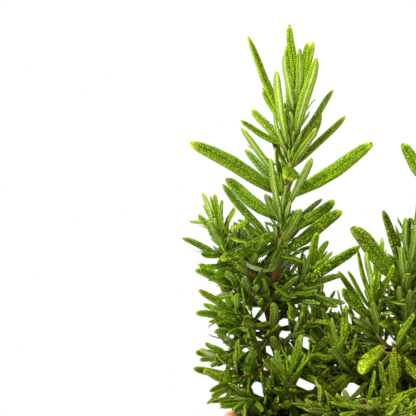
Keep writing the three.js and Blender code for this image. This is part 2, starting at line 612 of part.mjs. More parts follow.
const shootsA = [
  {
    name: "shoot_a_left_upper",
    path: [
      [-41.6, -1.6, 140.6],
      [-46, -4.5, 143.4],
      [-51, -6, 147],
      [-54.5, -6.5, 152.5],
      [-56.2, -7, 158.5],
    ],
    thick: [1, 0.65],
    rule: { from: 0.3, to: 0.9, gap: 3.9, length: 13, spread: [60, 28], turn: 0, seed: 11, deep: 0.55 },
    read: [
      [-61, -9, 168.8, -56, 157, 1.8, 0.3],
      [-57.3, -2, 168.5, -56, 158, 1.7, 0.2],
      [-55.2, -14, 166.7, -55.5, 156, 1.8],
      [-62.4, -5, 162, -55.5, 155, 1.9, 0.2, 0.5],
      [-52.6, -2, 162.3, -54.5, 152, 1.3],
      [-67.3, -7, 154.7, -52.5, 148, 2, -0.4, 0.8],
      [-61.6, -13, 150, -51.5, 146.5, 1.8, 0, 0.6],
      [-49.6, -9, 158.5, -51, 147, 1.6, 0.4, 0.3],
    ],
  },
  {
    name: "shoot_a_left_middle",
    path: [
      [-42.2, -1, 133.6],
      [-45, -1.5, 135.6],
      [-49, -2, 138.2],
      [-52, -2.5, 141],
    ],
    thick: [0.9, 0.6],
    rule: { from: 0.35, to: 0.95, gap: 3.9, length: 12, spread: [60, 30], turn: 0, seed: 17, deep: 0.55 },
    read: [
      [-63.4, -3, 144.8, -50.5, 139, 2.3, -0.3, 0.9],
      [-60, 4, 145.3, -51, 140, 1.8, -0.2, 0.6],
      [-56, -7, 149.5, -51.5, 140.5, 1.7, 0.2],
      [-51.2, 0, 152, -51.5, 140.8, 1.6, 0.3],
      [-42.5, -5, 145.3, -48, 137.5, 1.8, 0, 0.5],
      [-53.6, -9, 133.8, -47, 137, 1.8, 0, 0.5],
    ],
  },
  {
    name: "shoot_a_left_fan",
    path: [
      [-42.3, -2, 126.2],
      [-45.5, -4, 127.2],
      [-49, -5, 129.3],
      [-51.2, -6, 132],
    ],
    thick: [0.9, 0.6],
    rule: { from: 0.4, to: 0.95, gap: 3.9, length: 13, spread: [62, 34], turn: 0, seed: 23, deep: 0.55 },
    read: [
      [-62.3, -9, 138.8, -51, 131.5, 2.2, -0.3, 0.7],
      [-56.3, -7, 142.6, -51, 132, 2.8, 0.2, 0.7],
      [-60.9, -1, 134.2, -50.5, 130.5, 1.9, 0, 0.6],
      [-63.3, -6, 131.6, -50.5, 130, 2.5, -0.3, 0.7],
      [-56.6, -10, 125, -49.5, 129.5, 2.4, -0.4, 0.8],
      [-59.2, 2, 128.4, -49, 128.5, 1.4, 0, 0.5],
      [-39.7, -6, 136, -46.5, 127.5, 1.7, 0.2, 0.4],
      [-47.6, -13, 122.5, -47.5, 128.2, 1.6, -0.8, 0.2],
      [-50.6, -2, 140.5, -50.8, 131.5, 1.5],
    ],
  },
  {
    name: "shoot_a_left_drooping",
    path: [
      [-41, -3, 121.6],
      [-45, -5, 122.2],
      [-50, -7, 120.2],
      [-54.5, -8.5, 117.2],
    ],
    thick: [0.9, 0.6],
    rule: { from: 0.3, to: 0.97, gap: 3.9, length: 12, spread: [62, 30], turn: 0, seed: 29, deep: 0.55 },
    read: [
      [-60.3, -6, 122.2, -53.5, 118, 1.9, -0.3, 0.6],
      [-63.2, -10, 119.8, -54, 117.4, 2.4, -0.2, 0.8],
      [-62, -5, 116.6, -54.3, 117.2, 1.9, 0, 0.6],
      [-56.6, -3, 124.6, -52.5, 118.8, 1.4, 0.3],
      [-47.5, -14, 112.6, -44.5, 122, 3, -0.4, 0.8],
      [-47, -2, 131.5, -48, 121.5, 1.6, 0.3],
      [-54.5, -15, 110.8, -51.5, 119.5, 1.6, -0.4, 0.5],
    ],
  },
  {
    name: "shoot_a_left_low",
    path: [
      [-37.6, -2.6, 111.6],
      [-43, -7, 113.2],
      [-48, -10, 112.2],
      [-51.8, -12, 110],
    ],
    thick: [0.95, 0.65],
    rule: { from: 0.25, to: 0.97, gap: 3.9, length: 12, spread: [62, 36], turn: 0, seed: 31, deep: 0.55 },
    read: [
      [-60.9, -15, 113.8, -51.4, 110.4, 2.5, -0.3, 0.8],
      [-64, -10, 114.4, -51, 110.5, 2.4, 1.8, 0.6],
      [-59, -14, 108, -51.5, 110.2, 1.7, -0.2, 0.8],
      [-58.3, -10, 105.7, -51, 110.6, 1.9, 0, 0.7],
      [-59.9, -6, 103.2, -50, 111.2, 1.3, 0, 0.6],
      [-55.6, -14, 102.3, -50, 111.2, 1.6, -0.3, 0.6],
      [-46.3, -15, 105.4, -48.5, 112, 1.8, -0.4, 0.5],
      [-45, -9, 119, -47, 112.6, 1.5, 0.3],
    ],
  },
  {
    name: "shoot_a_left_rim",
    path: [
      [-34.4, -3, 102.6],
      [-39, -8, 104.6],
      [-44, -13, 105.3],
      [-47.5, -16.5, 104.8],
    ],
    thick: [0.9, 0.6],
    rule: { from: 0.2, to: 1, gap: 4, length: 13, spread: [60, 36], turn: 0, seed: 37 },
    read: [
      [-55.8, -21, 104.2, -47, 105, 1.8, -0.2, 0.8],
      [-55.6, -12, 102.6, -47.2, 104.8, 1.8, -0.2, 0.8],
      [-42.7, -22, 102, -45.4, 105.2, 1.6, -0.4, 0.5],
      [-51.8, -31, 102, -47, 104.8, 2.2, -0.5, 0.7],
    ],
  },
  {
    name: "shoot_a_right_upper",
    path: [
      [-37.4, 0.6, 135.6],
      [-34, 1, 136.4],
      [-30.5, 1, 138.4],
      [-28.3, 0.6, 143],
    ],
    thick: [0.95, 0.65],
    rule: { from: 0.4, to: 0.95, gap: 3.9, length: 13, spread: [60, 30], turn: 0, seed: 41, deep: 0.55 },
    read: [
      [-25.3, -4, 156.5, -28.4, 142, 2.6, 0.3, 0.6],
      [-21.7, 4, 153.8, -28.3, 142.5, 2.1, 0.2, 0.6],
      [-21, -9, 150.6, -28.3, 142.8, 1.6, 0.2],
      [-12.6, -3, 152.5, -28.6, 141.8, 3.3, -1.3, 0.9],
      [-28, -10, 150.5, -28.2, 142.5, 1.5],
      [-17, 6, 143, -30, 139.2, 2.2, -0.6, 0.7],
      [-16.6, -1, 134.4, -30.8, 138, 2.3, -0.5, 0.8],
      [-19.2, -8, 133.4, -31, 137.8, 2.2, -0.5, 0.7],
      [-24, -12, 140.6, -28.8, 141, 1.5, 0, 0.4],
      [-33.8, -13, 129.6, -33, 136.8, 3.2, -0.8, 0.6],
      [-35.4, -6, 143.4, -32.6, 137.2, 1.7],
    ],
  },
  {
    name: "shoot_a_right_middle",
    path: [
      [-36.4, -1.4, 121.2],
      [-34, -2, 123.6],
      [-31, -3, 125.4],
      [-28.4, -3.6, 128],
    ],
    thick: [0.9, 0.6],
    rule: { from: 0.4, to: 0.95, gap: 3.9, length: 11, spread: [60, 32], turn: 0, seed: 43, deep: 0.55 },
    read: [
      [-20.6, -6, 127.8, -29.5, 127, 1.7, -1.6, 0.3],
      [-24.4, 2, 126.2, -32, 124.8, 2.8, -0.6, 0.7],
      [-25, -2, 133.4, -28.8, 127.4, 1.8, 0.2, 0.4],
      [-30.4, -9, 134.8, -29.2, 127, 1.5, 0.2],
      [-26.2, -13, 122.4, -30.6, 125.6, 1.8, -0.4, 0.6],
      [-34.4, -10, 132.4, -33, 124.2, 1.8, 0.3],
    ],
  },
  {
    name: "shoot_a_right_low",
    path: [
      [-33.4, -2.4, 110.8],
      [-32, -5, 113.6],
      [-30, -7, 116.2],
      [-27.2, -8.6, 118.6],
    ],
    thick: [0.9, 0.6],
    rule: { from: 0.35, to: 0.95, gap: 3.9, length: 12, spread: [60, 32], turn: 0, seed: 47, deep: 0.55 },
    read: [
      [-19.9, -10, 118, -28.5, 117.6, 1.9, -0.5, 0.8],
      [-27.2, -7, 126.4, -27.8, 118.2, 1.5, 0.2, 0.3],
      [-26.8, -15, 113.8, -28.6, 117.4, 1.6, -0.3, 0.4],
      [-20.8, -4, 111.4, -31, 115, 2.4, -0.4, 0.7],
      [-35.6, -14, 121.2, -30.8, 115.4, 2, 0.2, 0.3],
      [-22.2, -16, 108.6, -31.6, 114.2, 2.6, -0.6, 0.7],
    ],
  },
  {
    name: "shoot_a_front_low",
    path: [
      [-31, -3, 97.6],
      [-32.2, -10, 102],
      [-33.6, -17, 107.4],
      [-34.4, -22, 113.4],
    ],
    thick: [0.95, 0.65],
    rule: { from: 0.2, to: 1, gap: 4, length: 15, spread: [62, 26], turn: 45, seed: 53 },
    read: [
      [-28.4, -31, 102.6, -33.4, 106.6, 2.6, -0.4, 0.8],
      [-38.9, -26, 120.8, -34, 109, 2.1, 0.2, 0.5],
      [-42.6, -25, 99.6, -33, 105, 2, -0.4, 0.6],
    ],
  },
];

// The second stem, of which the left half is seen.
const leaderB = {
  name: "stem_b_leader",
  path: [
    [6, 4, ROOT_BOTTOM],
    [6, 4, 80],
    [6, 4, 94],
    [5, 4, 106],
    [3, 3.5, 119],
    [2.7, 3, 130],
    [3.6, 3, 142],
    [6.4, 3, 152],
    [10.6, 3.5, 162],
    [14.4, 4, 172],
    [16.6, 4, 184],
    [17.2, 4, 196],
  ],
  thick: [1.9, 0.7],
  bare: 0.26,
  rule: { from: 0.5, to: 0.98, gap: 4.6, length: 19, spread: [56, 22], turn: 30, seed: 59 },
  read: [
    [1.3, 2, 184.2, 10.5, 170, 3, 0, 0.9],
    [-15, -9, 158.2, 3.4, 139.5, 3.9, 0.3, 0.9],
    [-4.6, 3, 163.4, 3.9, 144, 2.4, 0.3, 0.7],
    [2.1, -4, 161.2, 4.1, 145, 1.8, 0.2],
    [4.8, -9, 158.8, 4, 144.5, 1.9, 0.2],
    [4.4, 8, 161, 4.4, 146, 2, 0.2],
    [-2.7, 9, 149.4, 2.9, 135, 2.6, 0.3, 0.6],
    [0, -6, 139.8, 2.8, 130.5, 1.8],
    [3.2, -9, 138.8, 2.8, 129, 1.6, 0.2],
    [11.5, -6, 146.5, 3.3, 138, 2.4, 0.2],
    [14, 8, 160.5, 5, 149, 2.6, 0.2],
    [17.8, -7, 154.5, 5.2, 148, 2.8, -0.8],
    [4.3, -9, 120.3, 2.8, 127.5, 2.6, -0.4, 0.8],
    [-6, -12, 128, 2.7, 129.3, 2.6, 0.3, 0.7],
  ],
};

const shootsB = [
  {
    name: "shoot_b_left_upper",
    path: [
      [0.2, 1.4, 119.6],
      [-3.6, -1, 121],
      [-6.6, -2.4, 124.6],
      [-7.6, -3, 129],
      [-7.6, -3.4, 134.4],
    ],
    thick: [0.95, 0.65],
    rule: { from: 0.3, to: 0.9, gap: 3.9, length: 14, spread: [58, 26], turn: 0, seed: 61, deep: 0.55 },
    read: [
      [-12.9, -2, 151.4, -7.7, 133.6, 1.8, 0.3, 0.4],
      [-10.4, -7, 150.6, -7.6, 133.8, 2, 0.3],
      [-8, -12, 143.2, -7.6, 131, 3, 0.2, 0.4],
      [-18.8, -1, 144.4, -7.5, 128.4, 1.9, 0.2, 0.6],
      [-16, -6, 144.5, -7.6, 131.6, 1.5, 0, 0.5],
      [-17.8, -8, 139.2, -7.2, 126.4, 3, 0.2, 0.8],
      [-4.8, 3, 154.8, -7.4, 134, 2.4, 0.3],
      [-1.6, -5, 146.4, -7.4, 133, 1.8, 0.2, 0.4],
      [-15, -6, 127, -6.8, 126, 1.9, -0.3, 0.7],
      [-12.4, -13, 112.9, -4.2, 122, 4.7, -1.2, 0.9],
    ],
  },
  {
    name: "shoot_b_left_middle",
    path: [
      [0.8, 1.8, 108],
      [-6, -2, 109.4],
      [-12.6, -4.4, 111.8],
      [-17, -5.4, 114.6],
      [-18.8, -6, 119.4],
    ],
    thick: [1.05, 0.65],
    rule: { from: 0.2, to: 0.92, gap: 3.9, length: 14, spread: [60, 28], turn: 0, seed: 67, deep: 0.55 },
    read: [
      [-16.6, -5, 133.6, -18.7, 118.6, 2.4, 0.2, 0.7],
      [-24, -5, 132.9, -18.8, 118.4, 2, 0.2, 0.6],
      [-21.2, -10, 130.2, -18.8, 118, 1.4, 0.2],
      [-28.3, -4, 123, -18.6, 117.6, 1.6, 0.2, 0.5],
      [-25.4, -2, 127.2, -18.2, 115.6, 2.2, 0, 0.6],
      [-13.6, -12, 125.4, -17.8, 114.4, 2, 0.2, 0.4],
      [-22.4, -12, 107.9, -12.8, 111.8, 3.5, -0.5, 0.9],
      [-11.4, -12, 103.6, -10.2, 109.2, 2.2, -0.5, 0.4],
      [-14.8, -4, 119.6, -11, 109.4, 2, 0.2],
      [-17.4, -14, 104.6, -9, 109, 2, -0.4, 0.7],
    ],
  },
  {
    name: "shoot_b_front_middle",
    path: [
      [3.2, 0.6, 118.2],
      [2, -4, 118.6],
      [-0.6, -9.6, 119.4],
      [-2.6, -14, 122.6],
    ],
    thick: [0.9, 0.6],
    rule: { from: 0.2, to: 1, gap: 4, length: 14, spread: [60, 28], turn: 20, seed: 71 },
    read: [
      [3.8, -18, 131.8, -2, 121.6, 2.4, 0.2, 0.4],
      [5.6, -15, 111, -0.4, 119.2, 3.6, -0.4, 0.8],
      [-2, -18, 110.4, -2, 121, 2.6, -0.4, 0.8],
    ],
  },
  {
    name: "shoot_b_front_low",
    path: [
      [5.6, 1.2, 97.2],
      [2, -8, 100.6],
      [-1.5, -15, 103.6],
      [-4.5, -21, 106],
    ],
    thick: [0.95, 0.65],
    rule: { from: 0.2, to: 1, gap: 4, length: 13, spread: [74, 52], turn: 45, seed: 73 },
    read: [
      [4.6, -22, 108.9, -3.6, 106.6, 2.1, -0.3, 0.8],
      [5.6, -16, 101.8, -2, 104.6, 1.8, -0.3, 0.6],
      [-14.6, -26, 105.4, -4, 107.4, 2.2, -0.4, 0.7],
    ],
  },
  sideShoot(leaderB, "shoot_b_right_upper", 134, 20, 24, 26, 79, 17),
  sideShoot(leaderB, "shoot_b_back_upper", 128, 75, 22, 28, 83, 16),
  sideShoot(leaderB, "shoot_b_right_low", 104, -35, 28, 20, 89, 17),
];

// Two more stems, to the right and behind, where the plant isn't seen.
const leaderC = {
  name: "stem_c_leader",
  path: [
    [32, -12, ROOT_BOTTOM],
    [32, -12, 80],
    [32, -12, 94],
    [34, -13, 108],
    [37.5, -13.5, 124],
    [39.5, -13, 142],
    [39.6, -12, 160],
    [38.6, -11.4, 176],
    [38, -11, 190],
  ],
  thick: [2, 0.7],
  bare: 0.26,
  rule: { from: 0.32, to: 0.98, gap: 4.6, length: 21, spread: [58, 20], turn: 15, seed: 97 },
};
const leaderD = {
  name: "stem_d_leader",
  path: [
    [6, 32, ROOT_BOTTOM],
    [6, 32, 80],
    [6, 32, 94],
    [8, 34, 108],
    [12, 36, 124],
    [15.5, 37, 142],
    [17.5, 36.5, 158],
    [18.4, 36, 174],
  ],
  thick: [1.9, 0.7],
  bare: 0.26,
  rule: { from: 0.32, to: 0.98, gap: 4.6, length: 20, spread: [58, 20], turn: 60, seed: 101 },
};

const shootsC = [
  sideShoot(leaderC, "shoot_c_right_upper", 140, 10, 17, 26, 103, 18),
  sideShoot(leaderC, "shoot_c_back", 128, 95, 20, 24, 107, 17),
  sideShoot(leaderC, "shoot_c_front", 122, -100, 24, 22, 109, 18),
  sideShoot(leaderC, "shoot_c_right_low", 108, -15, 22, 16, 113, 18),
  sideShoot(leaderC, "shoot_c_front_low", 103, -75, 31.5, 12, 127, 18),
  sideShoot(leaderC, "shoot_c_left_low", 106, 215, 20, 16, 131, 15),
];

const shootsD = [
  sideShoot(leaderD, "shoot_d_right_upper", 132, 15, 20, 24, 137, 17),
  sideShoot(leaderD, "shoot_d_left", 112, 170, 26, 14, 139, 15),
  sideShoot(leaderD, "shoot_d_back", 116, 80, 14, 20, 149, 17),
  sideShoot(leaderD, "shoot_d_right_low", 104, 25, 28, 16, 151, 18),
  sideShoot(leaderD, "shoot_d_left_low", 101, 150, 30, 12, 157, 16),
];

// Two short stems, at the front and at the back left.
const leaderE = {
  name: "stem_e_leader",
  path: [
    [-8, -27, ROOT_BOTTOM],
    [-8, -27, 80],
    [-8, -27, 94],
    [-9, -28, 99],
    [-11, -30, 103],
    [-13, -32.5, 106],
  ],
  thick: [1.5, 0.7],
  bare: 0.6,
  rule: { from: 0.66, to: 0.98, gap: 3.8, length: 13, spread: [72, 48], turn: 20, seed: 173 },
};
const leaderF = {
  name: "stem_f_leader",
  path: [
    [-17, 27, ROOT_BOTTOM],
    [-17, 27, 80],
    [-17, 27, 94],
    [-19, 28, 104],
    [-22, 30, 116],
    [-23.5, 32, 128],
    [-23.6, 33, 138],
  ],
  thick: [1.6, 0.7],
  bare: 0.4,
  rule: { from: 0.46, to: 0.98, gap: 4.2, length: 16, spread: [58, 24], turn: 50, seed: 179 },
};

const shootsE = [
  sideShoot(leaderE, "shoot_e_right", 97, -12, 19, 6, 181, 13),
  sideShoot(leaderE, "shoot_e_left", 98, 192, 18, 6, 191, 13),
  sideShoot(leaderE, "shoot_e_front", 97, -88, 18, 8, 193, 13),
];
const shootsF = [
  sideShoot(leaderF, "shoot_f_back", 104, 100, 17, 18, 197, 15),
  sideShoot(leaderF, "shoot_f_left", 100, 170, 22, 14, 199, 15),
];

const backShootsA = [
  sideShoot(leaderA, "shoot_a_back_upper", 124, 82, 20, 24, 163, 14),
  sideShoot(leaderA, "shoot_a_back_middle", 132, 120, 12, 20, 211, 13),
  sideShoot(leaderA, "shoot_a_back_low", 104, 125, 24, 16, 167, 15),
];

const families = [
  [leaderA, [...shootsA, ...backShootsA]],
  [leaderB, shootsB],
  [leaderC, shootsC],
  [leaderD, shootsD],
  [leaderE, shootsE],
  [leaderF, shootsF],
];
const leaders = families.map(([leader]) => leader);
const shoots = [...leaders, ...families.flatMap(([, sideShoots]) => sideShoots)];

// Keeps a stem's middle line among what later leaves stay clear of.
function keepStem(shoot) {
  const line = shoot.curve.getSpacedPoints(14);
  placed.push({ shoot, stem: true, lines: [line], width: 0, reach: shoot.thick[0], bound: boundOf([line]) });
}

for (const [leader, sideShoots] of families) {
  leader.sides = LEADER_SIDES;
  leader.widening = LEADER_WIDENING;
  leader.curve = stemCurve(leader);
  leader.bark = barkOf(leader);
  for (const shoot of sideShoots) {
    shoot.sides = SHOOT_SIDES;
    shoot.widening = 1;
    seat(shoot, leader);
    shoot.bark = barkOf(shoot);
  }
  for (const shoot of [leader, ...sideShoots]) keepStem(shoot);
}
for (const shoot of shoots) placeRead(shoot);
for (const shoot of shoots) placeByRule(shoot);

// A leafy stem is one skin: the bark, with each leaf drawn out of its facet.
function leafyStem(shoot) {
  const { facets, ends } = shoot.bark;
  const corners = [ends, ...facets.map((facet) => facet.skin)].flat().flatMap((triangle) => triangle.corners);
  const points = [...new Set(corners)];
  const numbers = new Map(points.map((point, number) => [point, number]));
  const geometry = new THREE.BufferGeometry().setFromPoints(points);
  geometry.setIndex(corners.map((corner) => numbers.get(corner)));
  geometry.computeVertexNormals();
  return geometry;
}

function named(name, geometry, material) {
  const mesh = new THREE.Mesh(geometry, material);
  mesh.name = name;
  return mesh;
}

const plant = new THREE.Group();
for (const shoot of shoots) plant.add(named(shoot.name, leafyStem(shoot), leafGreen));

const object = new THREE.Group();
object.add(named("pot", pot(), terracotta));
object.add(named("potting_soil", soil(leaders), soilDark));
object.add(plant);

export default object;
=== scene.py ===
# %% [markdown]
# # A potted rosemary plant
#
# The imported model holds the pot, the soil and one faceted solid for each leafy stem. This script keeps
# those forms and grows the fine plant on them. It reads from each solid where a leaf is rooted, where it
# ends and which way its top faces, and puts a blunt, rolled rosemary leaf there. Young leaves that are
# too small for the solids are added between them.

import math
import random
from functools import partialmethod
from types import SimpleNamespace

import bmesh
import bpy
import numpy as np
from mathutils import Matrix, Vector, noise


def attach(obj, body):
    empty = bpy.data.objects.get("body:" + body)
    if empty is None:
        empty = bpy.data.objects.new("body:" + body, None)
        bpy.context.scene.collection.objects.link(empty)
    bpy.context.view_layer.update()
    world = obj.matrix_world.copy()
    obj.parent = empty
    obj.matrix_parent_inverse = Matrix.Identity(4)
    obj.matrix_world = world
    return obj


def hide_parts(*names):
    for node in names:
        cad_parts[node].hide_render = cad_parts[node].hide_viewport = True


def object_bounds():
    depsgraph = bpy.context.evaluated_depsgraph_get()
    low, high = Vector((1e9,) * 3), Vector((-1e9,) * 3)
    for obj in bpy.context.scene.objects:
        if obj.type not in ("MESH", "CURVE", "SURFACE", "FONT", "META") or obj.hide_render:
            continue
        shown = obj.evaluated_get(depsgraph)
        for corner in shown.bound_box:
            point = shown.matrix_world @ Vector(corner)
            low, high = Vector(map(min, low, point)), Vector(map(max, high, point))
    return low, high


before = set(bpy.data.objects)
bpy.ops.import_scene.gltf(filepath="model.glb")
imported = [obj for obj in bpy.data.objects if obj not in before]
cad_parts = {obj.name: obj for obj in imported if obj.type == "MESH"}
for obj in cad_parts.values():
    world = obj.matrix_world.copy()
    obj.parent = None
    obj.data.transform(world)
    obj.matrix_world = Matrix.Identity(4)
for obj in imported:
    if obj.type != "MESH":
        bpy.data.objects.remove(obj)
CAD_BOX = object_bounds()
MM = 0.001
STEM_NODES = sorted(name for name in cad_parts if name.startswith(("stem_", "shoot_")))


def is_leader(name):
    """Whether a node is an upright stem out of the soil, and no side shoot."""
    return name.startswith("stem_")


print("leafy stems:", len(STEM_NODES), "leaders among them:", sum(map(is_leader, STEM_NODES)))

# %% [markdown]
# ## Camera and studio
#
# The photo is a close view that looks level at the upper part of the plant, on pure white. A long lens
# from 0.9 m away sees 130 mm of the plant from side to side. The world is white for the eye and dimmer
# as a light, so that the inside of the plant goes dark as it does in the photo.

# %% Camera
VIEW_DISTANCE = 0.9
VIEW_WIDTH = 0.13
CAMERA_X = -0.0594
CAMERA_Z = 0.16406
SENSOR = 36

camera = bpy.data.objects.new("camera", bpy.data.cameras.new("camera"))
camera.data.sensor_width = SENSOR
camera.data.lens = SENSOR * VIEW_DISTANCE / VIEW_WIDTH
camera.location = (CAMERA_X, -VIEW_DISTANCE, CAMERA_Z)
camera.rotation_euler = (math.radians(90), 0, 0)
bpy.context.collection.objects.link(camera)
bpy.context.scene.camera = camera
print("lens:", round(camera.data.lens), "mm")


# %% Helpers for nodes of every kind
def fill(node, inputs):
    """Links or sets a node's inputs, by name or number."""
    for key, value in inputs.items():
        if isinstance(value, Number):
            value = value.socket
        if isinstance(value, bpy.types.NodeSocket):
            node.id_data.links.new(value, node.inputs[key])
        else:
            node.inputs[key].default_value = value


def add(tree, kind, inputs=None, **settings):
    """Adds a node, sets it up and fills its inputs."""
    made = tree.nodes.new(kind)
    for key, value in settings.items():
        setattr(made, key, value)
    fill(made, inputs or {})
    return made


class Number:
    """A node's output that works like a number: a sign between two of them adds the node for it."""

    kind = "ShaderNodeMath"

    def __init__(self, tree, socket):
        self.tree = tree
        self.socket = socket

    def put(self, operation, *others):
        """What an operation makes of it and the others."""
        made = add(self.tree, self.kind, dict(enumerate([self, *others])), operation=operation)
        return type(self)(self.tree, made.outputs[0])

    def __rsub__(self, other):
        return type(self)(self.tree, other).put("SUBTRACT", self)

    __add__ = partialmethod(put, "ADD")
    __sub__ = partialmethod(put, "SUBTRACT")
    __mul__ = partialmethod(put, "MULTIPLY")
    __pow__ = partialmethod(put, "POWER")
    __lt__ = partialmethod(put, "LESS_THAN")
    __gt__ = partialmethod(put, "GREATER_THAN")
    __abs__ = partialmethod(put, "ABSOLUTE")


class Arrow(Number):
    """The same for a vector. A number that it is multiplied by counts for all three parts of it."""

    kind = "ShaderNodeVectorMath"
    cross = partialmethod(Number.put, "CROSS_PRODUCT")
    unit = partialmethod(Number.put, "NORMALIZE")

    def distance(self, other):
        made = add(self.tree, self.kind, {0: self, 1: other}, operation="DISTANCE")
        return Number(self.tree, made.outputs["Value"])

    def part(self, number):
        """Its x, y or z, as part 0, 1 or 2."""
        made = add(self.tree, "ShaderNodeSeparateXYZ", {0: self})
        return Number(self.tree, made.outputs[number])


print("node helpers:", ", ".join(helper.__name__ for helper in (fill, add, Number, Arrow)))

# %% World, lamps and floor
WORLD_LIGHT = 0.34
WORLD_TINT = (1, 0.97, 0.82, 1)
LAMP_TINT = (1, 0.98, 0.88)
LAMP_AIM = Vector((-0.02, 0, 0.14))
# Each soft box: its name, its place, its power in watts and its size in metres.
LAMPS = [
    ("key_lamp", (-0.85, -0.6, 0.95), 35.5, 0.3),
    ("top_lamp", (0.1, 0.3, 1.15), 13, 0.45),
    ("fill_lamp", (0.7, -1.0, 0.4), 7, 0.8),
]
FLOOR_RADIUS = 1.2
FLOOR_SIDES = 96
FLOOR_TINT = (0.86, 0.86, 0.85, 1)

world = bpy.data.worlds.new("studio")
world.use_nodes = True
sky = world.node_tree
sky.nodes.clear()
seen = add(sky, "ShaderNodeBackground", {"Color": (1, 1, 1, 1), "Strength": 1.0})
lit = add(sky, "ShaderNodeBackground", {"Color": WORLD_TINT, "Strength": WORLD_LIGHT})
eye = add(sky, "ShaderNodeLightPath").outputs["Is Camera Ray"]
both = add(sky, "ShaderNodeMixShader", {0: eye, 1: lit.outputs[0], 2: seen.outputs[0]})
add(sky, "ShaderNodeOutputWorld", {"Surface": both.outputs[0]})
bpy.context.scene.world = world
bpy.context.scene.view_settings.view_transform = "Standard"


def lamp(name, place, watts, size):
    """A square soft box that looks at the plant."""
    light = bpy.data.lights.new(name, "AREA")
    light.energy = watts
    light.size = size
    light.color = LAMP_TINT
    made = bpy.data.objects.new(name, light)
    made.location = place
    made.rotation_euler = (LAMP_AIM - Vector(place)).to_track_quat("-Z", "Y").to_euler()
    bpy.context.collection.objects.link(made)


def object_from(shape, name, linked=True):
    """Turns a bmesh into an object at the origin."""
    mesh = bpy.data.meshes.new(name)
    shape.to_mesh(mesh)
    shape.free()
    made = bpy.data.objects.new(name, mesh)
    if linked:
        bpy.context.collection.objects.link(made)
    return made


for row in LAMPS:
    lamp(*row)
disc = bmesh.new()
bmesh.ops.create_circle(disc, cap_ends=True, radius=FLOOR_RADIUS, segments=FLOOR_SIDES)
floor = object_from(disc, "floor")
paper = bpy.data.materials.new("pale_floor")
paper.use_nodes = True
fill(paper.node_tree.nodes["Principled BSDF"], {"Base Color": FLOOR_TINT, "Roughness": 0.8})
floor.data.materials.append(paper)
print("studio:", len(LAMPS), "soft boxes and a floor of", FLOOR_RADIUS, "m radius")

# %% [markdown]
# ## Effects that several finishes share
#
# Two shader groups do the work in every finish. One gives soft patches, for tone that drifts over a
# surface. The other gives pebbles: the net of raised cells on a leaf, the grains of fired clay and the
# crumbs of soil are the same pattern at different sizes.


# %% Shader groups
def new_group(name, kind, inputs, outputs):
    """A node group with its sockets, and what comes in through them."""
    tree = bpy.data.node_groups.new(name, kind)
    for ways, rows in (("INPUT", inputs), ("OUTPUT", outputs)):
        for label, sort, *value in rows:
            socket = tree.interface.new_socket(label, in_out=ways, socket_type="NodeSocket" + sort)
            if value:
                socket.default_value = value[0]
    return tree, add(tree, "NodeGroupInput").outputs


def between(value, low, high):
    """0 below low, 1 above high, and smooth between them."""
    inputs = {"Value": value, "From Min": low, "From Max": high}
    made = add(value.tree, "ShaderNodeMapRange", inputs, interpolation_type="SMOOTHSTEP")
    return Number(value.tree, made.outputs[0])


def patches_group():
    """A mask of soft patches: noise of a size, cut between two levels."""
    rows = [("Place", "Vector"), ("Scale", "Float"), ("Low", "Float"), ("High", "Float")]
    tree, given = new_group("patches", "ShaderNodeTree", rows, [("Mask", "Float")])
    inputs = {"Vector": given["Place"], "Scale": given["Scale"], "Detail": 3.0}
    cloud = Number(tree, add(tree, "ShaderNodeTexNoise", inputs).outputs["Fac"])
    add(tree, "NodeGroupOutput", {"Mask": between(cloud, given["Low"], given["High"])})
    return tree


def pebbles_group():
    """Raised cells: their height, and a mask of the few that are lighter than the rest."""
    rows = [("Place", "Vector"), ("Scale", "Float"), ("Share", "Float")]
    results = [("Height", "Float"), ("Picked", "Float")]
    tree, given = new_group("pebbles", "ShaderNodeTree", rows, results)
    cells = add(tree, "ShaderNodeTexVoronoi", {"Vector": given["Place"], "Scale": given["Scale"]}).outputs
    distance = Number(tree, cells["Distance"])
    lottery = Number(tree, add(tree, "ShaderNodeSeparateColor", {0: cells["Color"]}).outputs[0])
    picked = (lottery < given["Share"]) * between(distance, 0.55, 0.2)
    add(tree, "NodeGroupOutput", {"Height": 1.0 - distance, "Picked": picked})
    return tree


PATCHES = patches_group()
PEBBLES = pebbles_group()
print("shader groups:", PATCHES.name, "and", PEBBLES.name)


# %% Helpers for a finish
def patches(place, scale, low, high):
    inputs = {"Place": place, "Scale": scale, "Low": low, "High": high}
    made = add(place.tree, "ShaderNodeGroup", inputs, node_tree=PATCHES)
    return Number(place.tree, made.outputs["Mask"])


def pebbles(place, scale, share):
    inputs = {"Place": place, "Scale": scale, "Share": share}
    made = add(place.tree, "ShaderNodeGroup", inputs, node_tree=PEBBLES)
    return [Number(place.tree, made.outputs[name]) for name in ("Height", "Picked")]


def blend(factor, first, second):
    """The first colour, and the second where factor is 1."""
    inputs = {0: factor, 6: first, 7: second}
    return add(factor.tree, "ShaderNodeMix", inputs, data_type="RGBA").outputs[2]


def from_to(value, start, end):
    """A number that goes from start to end as the value goes from 0 to 1."""
    inputs = {"Value": value, "To Min": start, "To Max": end}
    return add(value.tree, "ShaderNodeMapRange", inputs).outputs[0]


def read(tree, name):
    """What a piece's attribute says."""
    return Number(tree, add(tree, "ShaderNodeAttribute", attribute_name=name).outputs["Fac"])


def place_on(tree):
    """The place on the piece in metres, the same in every view."""
    return Arrow(tree, add(tree, "ShaderNodeTexCoord").outputs["Object"])


def finish_of(name, color):
    """A new material with its tree and its surface node, and the plain colour seen in the viewport."""
    material = bpy.data.materials.new(name)
    material.use_nodes = True
    material.diffuse_color = (*color, 1)
    return material, material.node_tree, material.node_tree.nodes["Principled BSDF"]


